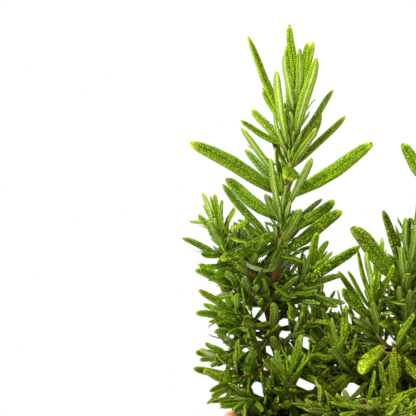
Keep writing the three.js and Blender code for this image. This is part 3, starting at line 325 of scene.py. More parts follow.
def raise_by(surface, height, distance, strength=1.0):
    """Gives a surface the relief of a height, where 1 is a distance in metres."""
    inputs = {"Height": height, "Distance": distance, "Strength": strength}
    fill(surface, {"Normal": add(height.tree, "ShaderNodeBump", inputs).outputs[0]})


print("a finish blends colours by masks, and raises the surface")

# %% [markdown]
# ## The leaf's finish
#
# A rosemary leaf is a strip whose edges roll under. Its top is a net of small raised cells, dark green
# with yellow-green points that are partly speckle and partly painted highlight, a sunken midrib, and a
# lighter edge and tip. The seams of the net and the midrib's groove are darkened as painted shade, and a
# few leaves have a painted blue-green sheen. Its underside is pale with two long grooves, and felted
# almost white on the few leaves that turn it to the photo's camera. A picture of a leaf would stretch on
# the bends, so the pattern is made by nodes, on coordinates that the leaf carries: across and along it in
# metres. Young leaves are lime green, and old ones low in the plant are olive. Leaves low in the plant and
# to its left are darker, partly by ageing and partly as painted shade. A few leaves have a dry brown tip.

# %% The leaf's colours, and what its finish reads
LEAF_DARK = (0.013, 0.047, 0.001, 1)
LEAF_MID = (0.076, 0.18, 0.001, 1)
LEAF_OLIVE = (0.076, 0.104, 0.001, 1)
LEAF_RUSSET = (0.09, 0.075, 0.002, 1)
# The next colour is a painted blue-green sheen, as of light reflected from a leaf's top.
LEAF_PAINTED_SHEEN = (0.11, 0.24, 0.07, 1)
LEAF_LIME = (0.30, 0.49, 0.004, 1)
LEAF_SPECK_AND_HIGHLIGHT = (0.46, 0.55, 0.02, 1)
LEAF_BOLD_SPECK_AND_HIGHLIGHT = (0.66, 0.70, 0.05, 1)
LEAF_PALE = (0.35, 0.46, 0.09, 1)
LEAF_RIB = (0.58, 0.67, 0.22, 1)
LEAF_FELT = (0.62, 0.66, 0.42, 1)
LEAF_ROOT = (0.36, 0.42, 0.08, 1)
LEAF_DRY = (0.10, 0.045, 0.01, 1)
# The net's cells in a metre across the leaf, how much closer they stand along it, and the share of
# them that are light, as speckle and painted highlight.
NET_SCALE = 1450.0
NET_SQUASH = 1.9
NET_SHARE = 0.6
DRIFT_SCALE = 420.0
LEAF_KEYS = ("across", "along", "under", "young", "tone", "warm", "spots", "old", "felted")


def read_leaf(tree):
    """The leaf's own numbers, and the patterns that are drawn with them."""
    leaf = SimpleNamespace(**{key: read(tree, "leaf_" + key) for key in LEAF_KEYS})
    place = add(tree, "ShaderNodeAttribute", attribute_name="leaf_place").outputs["Vector"]
    place = Arrow(tree, place)
    leaf.side = abs(leaf.across)
    # A leaf's old number is its ageing together with painted shade, and fresh is its opposite.
    leaf.fresh = 1.0 - leaf.old
    leaf.bold = between(leaf.spots, 1.6, 2.2)
    leaf.height, leaf.picked = pebbles(place * (1.0, NET_SQUASH, 1.0), NET_SCALE, NET_SHARE)
    leaf.drift = patches(place, DRIFT_SCALE, 0.36, 0.66)
    # The midrib's groove on the top: darkened in colour as painted shade, and sunk in the relief.
    leaf.rib = between(leaf.side, 0.2, 0.02) * (leaf.bold * -0.3 + 0.4)
    return leaf


print("a leaf carries", len(LEAF_KEYS), "numbers")


# %% Leaf material
def top_color(leaf):
    """The top: a green by tone, darker with ageing and painted shade, then its net of cells, light specks,
    midrib, edge and tip.
    """
    # Older leaves are darker: ageing and painted shade.
    bright = leaf.tone ** (leaf.fresh * 1.2 + 1.0) * (leaf.fresh * 0.3 + 0.65)
    green = blend(bright, LEAF_DARK, LEAF_MID)
    green = blend(leaf.drift * (leaf.fresh * 0.12 + 0.15), green, LEAF_MID)
    green = blend(leaf.warm, green, LEAF_OLIVE)
    green = blend(between(leaf.tone, 0.3, 0.2) * (leaf.warm * 0.9), green, LEAF_RUSSET)
    # A few leaves of high tone get the painted sheen, none of the olive ones.
    green = blend(between(leaf.tone, 0.84, 1.0) * 0.7 * (1.0 - leaf.warm), green, LEAF_PAINTED_SHEEN)
    green = blend(leaf.young * 0.7, green, LEAF_LIME)
    # The low seams between the net's cells are darkened: painted shade.
    green = blend(between(leaf.height, 0.66, 0.42) * 0.6, green, LEAF_DARK)
    fewer = (1.0 - leaf.young * 0.7) * (leaf.spots * 0.75 + 0.25)
    # The light specks on the raised cells are partly speckle and partly painted highlight.
    specks_and_highlights = leaf.picked * ((leaf.drift * 0.6 + 0.35) * fewer)
    green = blend(leaf.bold * 0.4, green, LEAF_LIME)
    green = blend(specks_and_highlights, green, blend(leaf.bold, LEAF_SPECK_AND_HIGHLIGHT, LEAF_BOLD_SPECK_AND_HIGHLIGHT))
    # Painted shade in the midrib's groove.
    green = blend(leaf.rib, green, LEAF_DARK)
    green = blend(between(leaf.side, 0.6, 1.0) * (leaf.fresh * 0.28 + 0.16), green, LEAF_LIME)
    # The tip is lighter, partly its own colour and partly painted highlight.
    green = blend(between(leaf.along, 0.9, 1.0) * (leaf.fresh * 0.4 + 0.3), green, LEAF_SPECK_AND_HIGHLIGHT)
    dry = between(leaf.along, 0.972, 0.99) * between(leaf.tone, 0.7, 0.72)
    return blend(dry, green, LEAF_DRY)


def underside_color(leaf, green):
    """The underside: pale felt with two grooves and a rib, and green again at the rolled edges."""
    felt = blend(leaf.drift * 0.4, LEAF_PALE, LEAF_MID)
    groove = between(abs(leaf.side - 0.36), 0.16, 0.04)
    felt = blend(groove * 0.75, felt, LEAF_MID)
    felt = blend(between(leaf.side, 0.22, 0.08), felt, LEAF_RIB)
    felt = blend(leaf.felted * 0.7, felt, LEAF_FELT)
    felt = blend(between(leaf.side, 0.5, 0.7), felt, green)
    return blend(leaf.fresh * -0.6 + 0.6, felt, green)


def leaf_finish():
    material, tree, surface = finish_of("rosemary_leaf", (0.1, 0.25, 0.02))
    leaf = read_leaf(tree)
    green = top_color(leaf)
    color = blend(leaf.under, green, underside_color(leaf, green))
    color = blend(between(leaf.along, 0.12, 0.0) * 0.7, color, LEAF_ROOT)
    fill(surface, {"Base Color": color, "Roughness": from_to(leaf.height, 0.55, 0.33)})
    fill(surface, {"Specular IOR Level": 0.3, "Specular Tint": (0.95, 1.0, 0.15, 1)})
    fill(surface, {"Subsurface Weight": 0.08, "Subsurface Scale": 0.0012})
    fill(surface, {"Subsurface Radius": (0.6, 1.0, 0.1)})
    raise_by(surface, leaf.height - leaf.rib * 2.0, 0.0003)
    return material


LEAF = leaf_finish()
print("finish:", LEAF.name)

# %% [markdown]
# ## The bark's finish
#
# Young rosemary stems are pale green with a brown blush. The old wood of the leaders is brown and
# flakes in long strips. The stem carries how woody it is, and that blends the one into the other. The
# flakes are noise on Object coordinates that is drawn out upwards, which suits stems that all rise.

# %% Bark material
BARK_YOUNG = (0.25, 0.29, 0.08, 1)
BARK_BLUSH = (0.27, 0.17, 0.045, 1)
BARK_OLD = (0.125, 0.058, 0.005, 1)
BARK_CRACK = (0.03, 0.015, 0.003, 1)


def bark_finish():
    material, tree, surface = finish_of("rosemary_bark", (0.25, 0.2, 0.1))
    place = place_on(tree)
    woody = read(tree, "bark_woody")
    flakes = patches(place * (1.0, 1.0, 0.22), 1900.0, 0.42, 0.62)
    drift = patches(place, 260.0, 0.4, 0.62)
    fresh = blend(drift, BARK_YOUNG, BARK_BLUSH)
    wood = blend(flakes, BARK_OLD, BARK_CRACK)
    wood = blend(drift * 0.2, wood, BARK_BLUSH)
    fill(surface, {"Base Color": blend(woody, fresh, wood)})
    fill(surface, {"Roughness": 0.8, "Specular IOR Level": 0.12})
    raise_by(surface, 1.0 - flakes * (woody + 0.25), 0.0003)
    return material


BARK = bark_finish()
print("finish:", BARK.name)

# %% [markdown]
# ## Reading the leafy stems from the frame
#
# Each solid is one skin: rings of bark, with every leaf drawn out of one small triangle of it. So a
# vertex with just three neighbours is a leaf's tip, the next three are its far ring, the next three its
# near ring, and the last three its root on the bark. What is left is the bark itself, ring by ring.
# Reading the skin keeps the fine plant on the solids wherever they are, with no list of places to copy.


# %% Walk over a solid's skin
def skin_of(name):
    """The solid's points, and for each the set of its neighbours."""
    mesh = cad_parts[name].data
    numbers = {}
    places = []
    near = []
    for face in mesh.polygons:
        corners = []
        for vertex in face.vertices:
            place = mesh.vertices[vertex].co
            key = tuple(round(value * 1e7) for value in place)
            if key not in numbers:
                numbers[key] = len(places)
                places.append(place.copy())
                near.append(set())
            corners.append(numbers[key])
        for corner in corners:
            near[corner].update(other for other in corners if other != corner)
    return places, near


def ring_after(near, inner, known):
    """The points next to a ring that aren't known yet."""
    return set().union(*(near[point] for point in inner)) - inner - known


def centre_of(places, ring):
    return sum((places[point] for point in ring), Vector()) / len(ring)


print("corners on", STEM_NODES[0], len(skin_of(STEM_NODES[0])[0]))

# %% A leaf from its rings, and a stem from its bark
# A leaf's rolled edges are this much farther apart than the solid's corners.
BROADER = 1.09
# The near ring stands at this share of the leaf's length.
NEAR_RING = 0.27


def leaf_from_rings(places, tip, inner, root):
    """A leaf's root, knee, tip, top side and half width from its rings."""
    pairs = [((places[a] - places[b]).length, a, b) for a in inner for b in inner if a < b]
    width, left, right = max(pairs)
    ridge = (inner - {left, right}).pop()
    middle = (places[left] + places[right]) / 2
    start = centre_of(places, root)
    end = places[tip]
    rest = 1 - NEAR_RING
    knee = (middle - start * rest**2 - end * NEAR_RING**2) / (2 * NEAR_RING * rest)
    return {
        "root": start,
        "knee": knee,
        "tip": end,
        "top": (places[ridge] - middle).normalized(),
        "half": BROADER * width / 2,
    }


def steps_from(near, start):
    """How many edges each point lies from the start points."""
    steps = dict.fromkeys(start, 0)
    front = list(start)
    while front:
        found = []
        for point in front:
            for other in near[point]:
                if other not in steps:
                    steps[other] = steps[point] + 1
                    found.append(other)
        front = found
    return steps


def stem_from(places, near, bark):
    """The stem's middle line and radii, from its thick end to its thin one."""
    own = {point: near[point] & bark for point in bark}
    first = steps_from(own, [next(iter(sorted(bark)))])
    end = max(first, key=first.get)
    far = steps_from(own, [end])
    other = max(far, key=far.get)
    back = steps_from(own, [other])
    ring = [point for point in back if back[point] == max(back.values())]
    rows = {}
    for point, step in steps_from(own, ring).items():
        rows.setdefault(step, []).append(point)
    line = []
    for step in sorted(rows):
        middle = centre_of(places, rows[step])
        radius = sum((places[point] - middle).length for point in rows[step]) / len(rows[step])
        line.append((middle, radius))
    return line if line[0][1] > line[-1][1] else line[::-1]


print("a leaf's knee is worked out from a ring at", NEAR_RING, "of its length")

# %% Read every stem
# The tips, in millimetres, of the leaves that the photo shows from below, and how near a tip must be.
PALE_TIPS = [(-48.0, -9.0, 147.5)]
TIP_MATCH = 2 * MM
TURNED_TOP = Vector((0, 1, 0.2))
# A leaf's root is moved this share of the way from the bark to the middle of the stem.
ROOT_SHIFT = 0.3


def read_stem(name):
    places, near = skin_of(name)
    leaves = []
    taken = set()
    for tip in range(len(places)):
        if len(near[tip]) != 3:
            continue
        outer = set(near[tip])
        inner = ring_after(near, outer, {tip})
        root = ring_after(near, inner, outer)
        if len(inner) != 3 or len(root) != 3:
            continue
        leaves.append(leaf_from_rings(places, tip, inner, root))
        taken |= {tip} | outer | inner
    line = stem_from(places, near, set(range(len(places))) - taken)
    for leaf in leaves:
        middle = min((middle for middle, _ in line), key=lambda middle: (middle - leaf["root"]).length)
        leaf["root"] = leaf["root"].lerp(middle, ROOT_SHIFT)
    return line, leaves


def turn_undersides(leaves):
    """Turns over the leaves whose pale undersides the photo shows."""
    for leaf in leaves:
        if any((leaf["tip"] - Vector(tip) * MM).length < TIP_MATCH for tip in PALE_TIPS):
            leaf["top"] = TURNED_TOP
            leaf["pale"] = True


stems = {name: read_stem(name) for name in STEM_NODES}
for _, read_leaves in stems.values():
    turn_undersides(read_leaves)
print("leaves read:", sum(len(leaves) for _, leaves in stems.values()))
print("rings read:", sum(len(line) for line, _ in stems.values()))

# %% [markdown]
# ## Young leaves between the old ones
#
# The solids hold the leaves that give the plant its outline. A real shoot has more: opposite pairs every
# few millimetres, and in each leaf's axil a tuft of young leaves. They are placed here by the same rule
# as the old ones, each pair turned a quarter from the one below, in the first of a few directions that
# is clear of what stands there already. The photo shows white through the plant in places, and no young
# leaf covers those.

# %% What is already there
LEAF_SHARES = (0.3, 0.52, 0.74, 0.93)
# How much of its radius a stem keeps for itself, and of their half widths an old leaf and a young one,
# and the most places that there is room to note.
STEM_ROOM = 0.8
OLD_ROOM = 0.7
YOUNG_ROOM = 0.55
MOST_PLACES = 60000


def along_leaf(leaf, share):
    rest = 1 - share
    return leaf["root"] * rest * rest + leaf["knee"] * (2 * share * rest) + leaf["tip"] * (share * share)


class Crowd:
    """Points with a radius, to ask whether a place is free."""

    def __init__(self, room):
        self.places = np.zeros((room, 3))
        self.radii = np.zeros(room)
        self.count = 0

    def put(self, places, radius):
        for place in places:
            self.places[self.count] = place
            self.radii[self.count] = radius
            self.count += 1

    def is_free(self, places, radius):
        known = self.places[: self.count]
        reach = self.radii[: self.count] + radius
        for place in places:
            if np.any(((known - np.array(place)) ** 2).sum(axis=1) < reach**2):
                return False
        return True


crowd = Crowd(MOST_PLACES)
for line, leaves in stems.values():
    for middle, radius in line:
        crowd.put([middle], radius * STEM_ROOM)
    for leaf in leaves:
        crowd.put([along_leaf(leaf, share) for share in LEAF_SHARES], leaf["half"] * OLD_ROOM)
print("places taken by the solids:", crowd.count)

# %% Windows through the plant
# Each is its left, right, bottom and top as the camera sees them, in millimetres, and how far back a
# leaf must stand to be out of the way. Nothing stands as far back as OPEN.
OPEN = 100
WINDOWS = [
    (-43.8, -39.4, 128, 133.5, OPEN),
    (-38.5, -37, 134, 136, OPEN),
    (-49, -46, 118, 120.8, OPEN),
    (-48, -45.2, 111, 112, OPEN),
    (-44.3, -42, 122, 123.7, OPEN),
    (-42, -39, 119, 121.5, OPEN),
    (-44.4, -43, 108, 110.4, OPEN),
    (-45.2, -42.4, 106.3, 108.6, OPEN),
    (-44.7, -41.2, 104.9, 106.6, OPEN),
    (-42, -40, 111, 114.5, OPEN),
    (-36.5, -35, 124, 129.5, OPEN),
    (-34.8, -33, 108, 110.3, OPEN),
    (-32, -26, 107, 111.3, OPEN),
    (-27, -25, 111, 114, OPEN),
    (-30, -26, 120, 124, OPEN),
    (-20.3, -18.5, 114, 116.5, OPEN),
    (-16, -11.5, 105, 110.7, OPEN),
    (-5, -1.5, 120, 124.5, OPEN),
    (-24, -12, 139, 149, OPEN),
    (-32, -8, 168, 182, OPEN),
    (-22, -1, 156, 172, OPEN),
    (-12, 5.6, 162, 200, OPEN),
    (-40.5, -35.8, 141, 156, -1.5),
    (-12.5, -8, 115, 119, -10),
    (-11, -6, 118, 122, -7),
    (-8.5, -3.5, 121, 125.5, -3.5),
    (-23, -17.5, 107.3, 111.5, -11),
    (-17.8, -13, 108.5, 112.5, -6),
    (-12.8, -9.5, 103.5, 107, -11.5),
    (-12.5, -9.3, 107, 111, -6),
    (-13, 5.6, 104.5, 125.5, -13),
    (-40, -37, 105, 120, -17),
    (-50, -41, 114, 122, -12),
]
print("windows kept open:", len(WINDOWS))

# %% Whether a leaf has room
POT_TOP = 100 * MM
RIM_INSIDE = 47 * MM
RIM_OUTSIDE = 56.5 * MM
RIM_CLEARANCE = 1 * MM
SOIL_TOP = 92.5 * MM
BOX_MARGIN = 0.4 * MM


def as_seen(place):
    """A point's place on the plane through the pot's axis, as the camera sees it, in millimetres."""
    zoom = VIEW_DISTANCE / (VIEW_DISTANCE + place.y)
    x = camera.location.x + (place.x - camera.location.x) * zoom
    z = camera.location.z + (place.z - camera.location.z) * zoom
    return x / MM, z / MM


def from_seen(x, z, depth):
    """The point at a depth in metres that the camera sees at a place, in millimetres, on that plane."""
    zoom = (VIEW_DISTANCE + depth) / VIEW_DISTANCE
    left = camera.location.x + (x * MM - camera.location.x) * zoom
    high = camera.location.z + (z * MM - camera.location.z) * zoom
    return Vector((left, depth, high))


def in_window(place):
    x, z = as_seen(place)
    y = place.y / MM
    return any(
        left < x < right and low < z < high and y < depth
        for left, right, low, high, depth in WINDOWS
    )


def is_inside(place):
    """Whether a place is within the solids' box and clear of the soil and the pot's rim."""
    low, high = CAD_BOX
    if not all(low[i] + BOX_MARGIN < place[i] < high[i] - BOX_MARGIN for i in range(3)):
        return False
    over_clay = RIM_INSIDE < math.hypot(place.x, place.y) < RIM_OUTSIDE
    return place.z > SOIL_TOP and (not over_clay or place.z > POT_TOP + RIM_CLEARANCE)


def has_room(leaf, windows=True):
    """Whether a young leaf is clear of the pot, of what stands there already and of the windows."""
    spots = [along_leaf(leaf, share) for share in LEAF_SHARES]
    for spot in [*spots, leaf["tip"]]:
        if not is_inside(spot) or (windows and in_window(spot)):
            return False
    return crowd.is_free(spots, leaf["half"] * YOUNG_ROOM)


print("young leaves stay", RIM_CLEARANCE / MM, "mm clear of the rim")


# %% Sprout a young leaf
class Stem:
    """A stem's middle line, asked by distance from its root."""

    def __init__(self, line):
        self.line = line
        gaps = [(b[0] - a[0]).length for a, b in zip(line, line[1:])]
        self.ends = [0.0]
        for gap in gaps:
            self.ends.append(self.ends[-1] + gap)
        self.length = self.ends[-1]

    def at(self, distance):
        """The point, the direction and the radius at a distance from the root."""
        distance = min(max(distance, 0.0), self.length)
        step = max(i for i, end in enumerate(self.ends[:-1]) if end <= distance)
        (here, thick), (there, thin) = self.line[step], self.line[step + 1]
        share = (distance - self.ends[step]) / (self.ends[step + 1] - self.ends[step])
        return here.lerp(there, share), (there - here).normalized(), thick + (thin - thick) * share

    def nearest(self, place):
        gaps = [(middle - place).length for middle, _ in self.line]
        return self.ends[gaps.index(min(gaps))]


def square_to(direction, degrees):
    """A direction square to the stem: 0 degrees is to the back."""
    back = Vector((0, 1, 0))
    back = (back - direction * back.dot(direction)).normalized()
    turned = back.cross(direction).normalized()
    angle = math.radians(degrees)
    return back * math.cos(angle) + turned * math.sin(angle)


def leaf_between(root, tip, top, half, bow):
    chord = (tip - root).normalized()
    top = (top - chord * top.dot(chord)).normalized()
    return {"root": root, "knee": (root + tip) / 2 - top * (2 * bow), "tip": tip, "top": top, "half": half}


# A young leaf starts at this share of the stem's radius, and tries these turns round the stem.
YOUNG_ROOT = 0.7
TURN_TRIES = (0, 16, -16, 32, -32)


def sprout(stem, distance, degrees, spread, length, half, bow):
    """A young leaf that leaves the stem at an angle, with its top to the stem's tip."""
    middle, direction, radius = stem.at(distance)
    out = square_to(direction, degrees)
    angle = math.radians(spread)
    root = middle + out * (radius * YOUNG_ROOT)
    tip = root + direction * (length * math.cos(angle)) + out * (length * math.sin(angle))
    return leaf_between(root, tip, direction, half, bow)


def grow(found, stem, distance, degrees, spread, length, half, bow):
    """Adds the first young leaf that has room, of a few turns."""
    for turn in TURN_TRIES:
        leaf = sprout(stem, distance, degrees + turn, spread, length, half, bow)
        if has_room(leaf):
            crowd.put([along_leaf(leaf, share) for share in LEAF_SHARES], half * YOUNG_ROOM)
            found.append(leaf)
            return


print("a young leaf tries", len(TURN_TRIES), "turns")

# %% Small leaves that the photo shows one by one
# Each is its tip's x and z, its root's x and z, and its width, in millimetres on the plane through the
# pot's axis, and where it matters, how far in front of its root the tip is.
READ_YOUNG = [
    (-41.7, 145.4, -40.4, 152.8, 1.7),
    (-43.6, 149.2, -39.4, 153.6, 1.8),
    (-35.1, 149.8, -37.0, 153.4, 1.4),
    (-28.9, 150.3, -34.6, 150.9, 1.3),
    (-33.0, 154.4, -34.6, 151.4, 1.5),
    (-42.0, 145.2, -39.8, 149.5, 1.6),
    (-56.2, 103.3, -49.5, 105.6, 1.5),
    (-55.7, 101.6, -49.0, 104.8, 1.7),
    (-51.6, 100.6, -48.6, 105.6, 2.0),
    (-46.6, 99.2, -44.6, 104.4, 2.7, -14),
    (-44.3, 99.3, -43.4, 104.2, 2.5, -20),
    (-48.0, 98.7, -45.8, 104.6, 2.4, 26),
    (-45.2, 98.6, -44.4, 104.8, 2.2),
    (-43.0, 98.8, -43.2, 104.4, 2.0),
    (-41.0, 99.4, -41.6, 104.8, 2.0),
    (-38.0, 99.6, -39.6, 103.8, 2.2, 10),
    (-36.0, 101.6, -39.0, 104.6, 2.2),
    (-50.9, 104.2, -46.4, 105.9, 1.4),
    (-29.6, 209.5, -30, 197, 1.1),
    (-38.8, 190, -35, 182, 2.0),
    (-47.5, 184, -40, 176, 1.0),
    (-37.2, 186.7, -34, 178, 1.8),
    (-38.3, 183, -36, 165, 2.2),
    (-28, 181.3, -31.5, 181, 1.1),
    (-30.3, 190.7, -30.8, 184, 0.9),
    (-29.7, 174.8, -34, 175.5, 1.1),
    (-46, 174, -43.5, 168, 0.9),
    (-44.7, 165.3, -38, 160.5, 1.7),
    (-41.8, 159.6, -37.5, 157.3, 2.0),
    (-34.4, 150.4, -35.3, 157.2, 1.2),
    (-33.2, 154.6, -34.8, 150.6, 1.2),
    (-49.5, 161, -45.5, 156, 1.0),
    (-51.7, 142.2, -41, 142, 1.5),
    (-58.7, 168, -56, 158, 1.0),
    (-62.8, 159, -56, 155.5, 1.0),
    (-51.8, 161, -51.3, 157, 0.9),
    (-63.7, 150.5, -56, 148.5, 1.0),
    (-61.4, 130.5, -50.5, 131, 1.4),
    (-53.5, 135, -51, 131.5, 1.8),
    (-39.7, 128.2, -44.5, 128, 1.9),
    (-49.2, 125.8, -48.5, 130, 1.0),
    (-50.8, 104.4, -46, 106, 1.5),
    (-22, 150.7, -28, 142.5, 1.3),
    (-28.5, 155.3, -33, 152.5, 1.5),
    (-33.8, 147.3, -31, 142.5, 0.9),
    (-27.3, 132.8, -31.5, 137, 1.6),
    (-7.2, 153.3, -7.6, 144, 1.2, -4),
    (-3.7, 151.6, -6.5, 143, 1.1, -4),
    (-23.8, 141.6, -28.1, 142.5, 1.3),
    (-27, 149.3, -28.5, 143.4, 1.5),
    (-1.8, 134.8, 1.5, 130, 1.8),
    (3.3, 135, 2, 131, 1.5),
    (-42.7, 103, -46, 106, 1.1),
    (-32.3, 107.5, -32, 113, 1.8),
    (-38.2, 104.2, -36.5, 119, 2.2),
    (-24.5, 104.8, -32.5, 104, 1.2),
    (-28, 106.7, -34.5, 107.6, 1.6),
    (-13.2, 115.6, -15.4, 119.2, 1.3),
    (-14.6, 115, -17.8, 121.5, 1.6),
    (-21, 103.6, -20, 99.5, 1.4),
]
# The same for leaves that turn their pale undersides to the camera.
READ_UNDERSIDES = [
    (-50.9, 159.6, -46.3, 155.2, 1.8, 8),
    (-62.0, 119.8, -54.4, 116.4, 2.2, 10),
]
print("small leaves of the photo:", len(READ_YOUNG) + len(READ_UNDERSIDES))

# %% Put them on their stems
# How far in front of its root a tip is tried, in millimetres.
DEPTH_TRIES = (3, 5, 1, -2, 8, 11, -5)
# How far such a leaf's top leans to the camera, or to the back where the underside shows.
TOP_SHOWS = -0.5
UNDERSIDE_SHOWS = 3
# A leaf whose tip ends below this seen height hangs over the rim, and is arched to clear it.
OVER_RIM = 102
ARCH = 1.1 * MM
# The share of its width that such a leaf keeps for itself on either side.
READ_ROOM = 0.3


def place_read(found, rows, facing):
    """Puts each of them on the nearest stem of the two that the photo shows, at the first free depth."""
    roots = [
        (name, middle, Vector(as_seen(middle)))
        for name in stems
        for middle, _ in stems[name][0]
        if name.split("_")[1] in ("a", "b")
    ]
    placed = 0
    for tip_x, tip_z, root_x, root_z, width, *lean in rows:
        aim = Vector((root_x, root_z))
        name, root, _ = min(roots, key=lambda row: (row[2] - aim).length)
        stem = Stem(stems[name][0])
        top = stem.at(stem.nearest(root))[1] + Vector((0, facing, 0))
        for shift in lean or DEPTH_TRIES:
            tip = from_seen(tip_x, tip_z, root.y - shift * MM)
            arch = ARCH if tip_z < OVER_RIM else 0.0
            leaf = leaf_between(root, tip, top, width * MM / 2, -arch)
            leaf["pale"] = facing > 0
            if has_room(leaf, windows=False):
                crowd.put([along_leaf(leaf, share) for share in LEAF_SHARES], width * MM * READ_ROOM)
                found[name].append(leaf)
                placed += 1
                break
    return placed


young_leaves = {name: [] for name in stems}
placed = place_read(young_leaves, READ_YOUNG, TOP_SHOWS)
print("small leaves read:", placed, "of", len(READ_YOUNG))
placed = place_read(young_leaves, READ_UNDERSIDES, UNDERSIDE_SHOWS)
print("undersides read:", placed, "of", len(READ_UNDERSIDES))

# %% [markdown]
# ## Twigs, pairs and tufts
#
# Low on the plant, short side growth fills the shoots. Each twig is a bent middle line of its own, tried
# at even steps up a stem and turned on from the last by the golden angle, so that none stands right
# above another. Then every stem and twig gets its young leaves. Loops do this better than hands could:
# there are thousands of them, and each must be clear of all that stand there.

# %% Grow the twigs
UP = Vector((0, 0, 1))
GOLDEN_TURN = 137.5
TWIG_STEPS = 6
TWIG_RADIUS = 0.55 * MM
TWIG_TAPER = 0.45
TWIG_BEND = 1.7
TWIG_ROOM = 0.5 * MM
TWIG_TURNS = (0, 40, -40, 80, -80)
# The least and the most of its usual reach and rise that a twig gets.
TWIG_REACHES = (0.7, 1.2)
TWIG_RISES = (0.4, 1.3)
# The heights between which twigs grow, the step between two on a stem, and their usual reach and rise.
LEADER_TWIGS = (93.5 * MM, 112 * MM, 1.5 * MM, 15 * MM, 6 * MM)
SHOOT_TWIGS = (96 * MM, 158 * MM, 4.2 * MM, 6.5 * MM, 2.5 * MM)


def twig_line(stem, distance, degrees, reach, rise):
    """The middle line of a twig that leaves a stem sideways and bends up."""
    middle, direction, radius = stem.at(distance)
    out = square_to(direction, degrees)
    line = []
    for step in range(TWIG_STEPS + 1):
        share = step / TWIG_STEPS
        place = middle + out * (radius / 2 + reach * share) + UP * (rise * share**TWIG_BEND)
        line.append((place, TWIG_RADIUS * (1 - TWIG_TAPER * share)))
    return line


def twig_fits(line):
    places = [place for place, _ in line]
    if not all(is_inside(place) and not in_window(place) for place in places[1:]):
        return False
    return crowd.is_free(places[2:], TWIG_ROOM)


def add_twigs(stem, lowest, highest, step, reach, rise):
    """Tries a twig at every step of the stem between two heights."""
    found = []
    distance = 0.0
    degrees = draw.uniform(0, 360)
    while distance < stem.length:
        if lowest < stem.at(distance)[0].z < highest:
            for turn in TWIG_TURNS:
                far = reach * draw.uniform(*TWIG_REACHES)
                high = rise * draw.uniform(*TWIG_RISES)
                line = twig_line(stem, distance, degrees + turn, far, high)
                if twig_fits(line):
                    crowd.put([place for place, _ in line], TWIG_RADIUS)
                    found.append(line)
                    break
        degrees += GOLDEN_TURN
        distance += step
    return found


draw = random.Random(5)
twigs = {}
for name, (line, _) in stems.items():
    twigs[name] = add_twigs(Stem(line), *(LEADER_TWIGS if is_leader(name) else SHOOT_TWIGS))
print("twigs:", sum(len(lines) for lines in twigs.values()))

# %% Pairs and tufts on every stem and twig
# The gap between two pairs, the largest half width and length of their leaves, and the heights that
# they keep to. Leaves are shorter towards both ends of a stem, and closer to it towards its tip.
PAIR_GAP = 2.5 * MM
PAIR_HALF = 1.55 * MM
TWIG_PAIR_HALF = 1.15 * MM
LEADER_PAIR = 15 * MM
SHOOT_PAIR = 13.5 * MM
TWIG_PAIR_SHARE = 0.7
TWIG_BARE = 1.5 * MM
PAIRS_FROM = 96 * MM
LEADER_PAIRS_TO = 150 * MM
ANY_HEIGHT = 1.0
PAIR_FALL = 0.45
PAIR_LENGTHS = (0.6, 1.0)
PAIR_HALVES = (0.65, 1.0)
PAIR_TURNS = (-14, 14)
SPREAD_AT_ROOT = 66
SPREAD_LOST = 34
SPREADS = (-8, 8)
BOWS = (-0.04, 0.06)
# The same for the tufts, whose leaves take a share of the old leaf's length.
TUFT_TURNS = (-40, 0, 40)
TUFT_LENGTHS = (0.3, 0.5)
TUFT_LONGEST = 8.5 * MM
TUFT_HALF = (0.65, 1.0)
TUFT_SPREADS = (22, 42)
TUFT_ABOVE = 0.8 * MM


def add_tufts(found, stem, leaves):
    """A few tiny leaves in the axil of each old leaf."""
    for leaf in leaves:
        distance = stem.nearest(leaf["root"])
        direction = stem.at(distance)[1]
        out = leaf["tip"] - leaf["root"]
        right = out.dot(square_to(direction, 90))
        back = out.dot(square_to(direction, 0))
        degrees = math.degrees(math.atan2(right, back))
        for turn in TUFT_TURNS:
            length = min(out.length * draw.uniform(*TUFT_LENGTHS), TUFT_LONGEST)
            half = draw.uniform(*TUFT_HALF) * MM
            spread = draw.uniform(*TUFT_SPREADS)
            grow(found, stem, distance + TUFT_ABOVE, degrees + turn, spread, length, half, 0.0)


def add_pairs(found, stem, start, longest, widest, highest):
    """Opposite pairs from a distance on, each a quarter turn from the one below."""
    distance = start
    pair = 0
    while distance < stem.length:
        share = distance / stem.length
        if PAIRS_FROM < stem.at(distance)[0].z < highest:
            for side in (0, 180):
                length = longest * (1 - PAIR_FALL * abs(share - 0.5)) * draw.uniform(*PAIR_LENGTHS)
                half = widest * draw.uniform(*PAIR_HALVES)
                degrees = pair * 90 + side + draw.uniform(*PAIR_TURNS)
                spread = SPREAD_AT_ROOT - SPREAD_LOST * share + draw.uniform(*SPREADS)
                bow = length * draw.uniform(*BOWS)
                grow(found, stem, distance, degrees, spread, length, half, bow)
        pair += 1
        distance += PAIR_GAP


for name, (line, leaves) in stems.items():
    stem = Stem(line)
    found = young_leaves[name]
    longest = LEADER_PAIR if is_leader(name) else SHOOT_PAIR
    highest = LEADER_PAIRS_TO if is_leader(name) else ANY_HEIGHT
    add_tufts(found, stem, leaves)
    add_pairs(found, stem, 0.0, longest, PAIR_HALF, highest)
    for twig in twigs[name]:
        reach = longest * TWIG_PAIR_SHARE
        add_pairs(found, Stem(twig), TWIG_BARE, reach, TWIG_PAIR_HALF, ANY_HEIGHT)
print("young leaves:", sum(len(found) for found in young_leaves.values()))

# %% [markdown]
# ## The leaf and the shoot
#
# One leaf is modelled straight, as a section with rolled edges that is drawn along the leaf and closed
# at a blunt tip. A Geometry Nodes tree puts it on every leaf point of a stem, bends it from root over
# knee to tip, and sweeps the bark along the stem's middle line. Points and line come in as one mesh with
# attributes. Python could build every leaf by itself and give the same shapes, only more slowly, and
# with one tree for every shoot all of them stay alike in make.

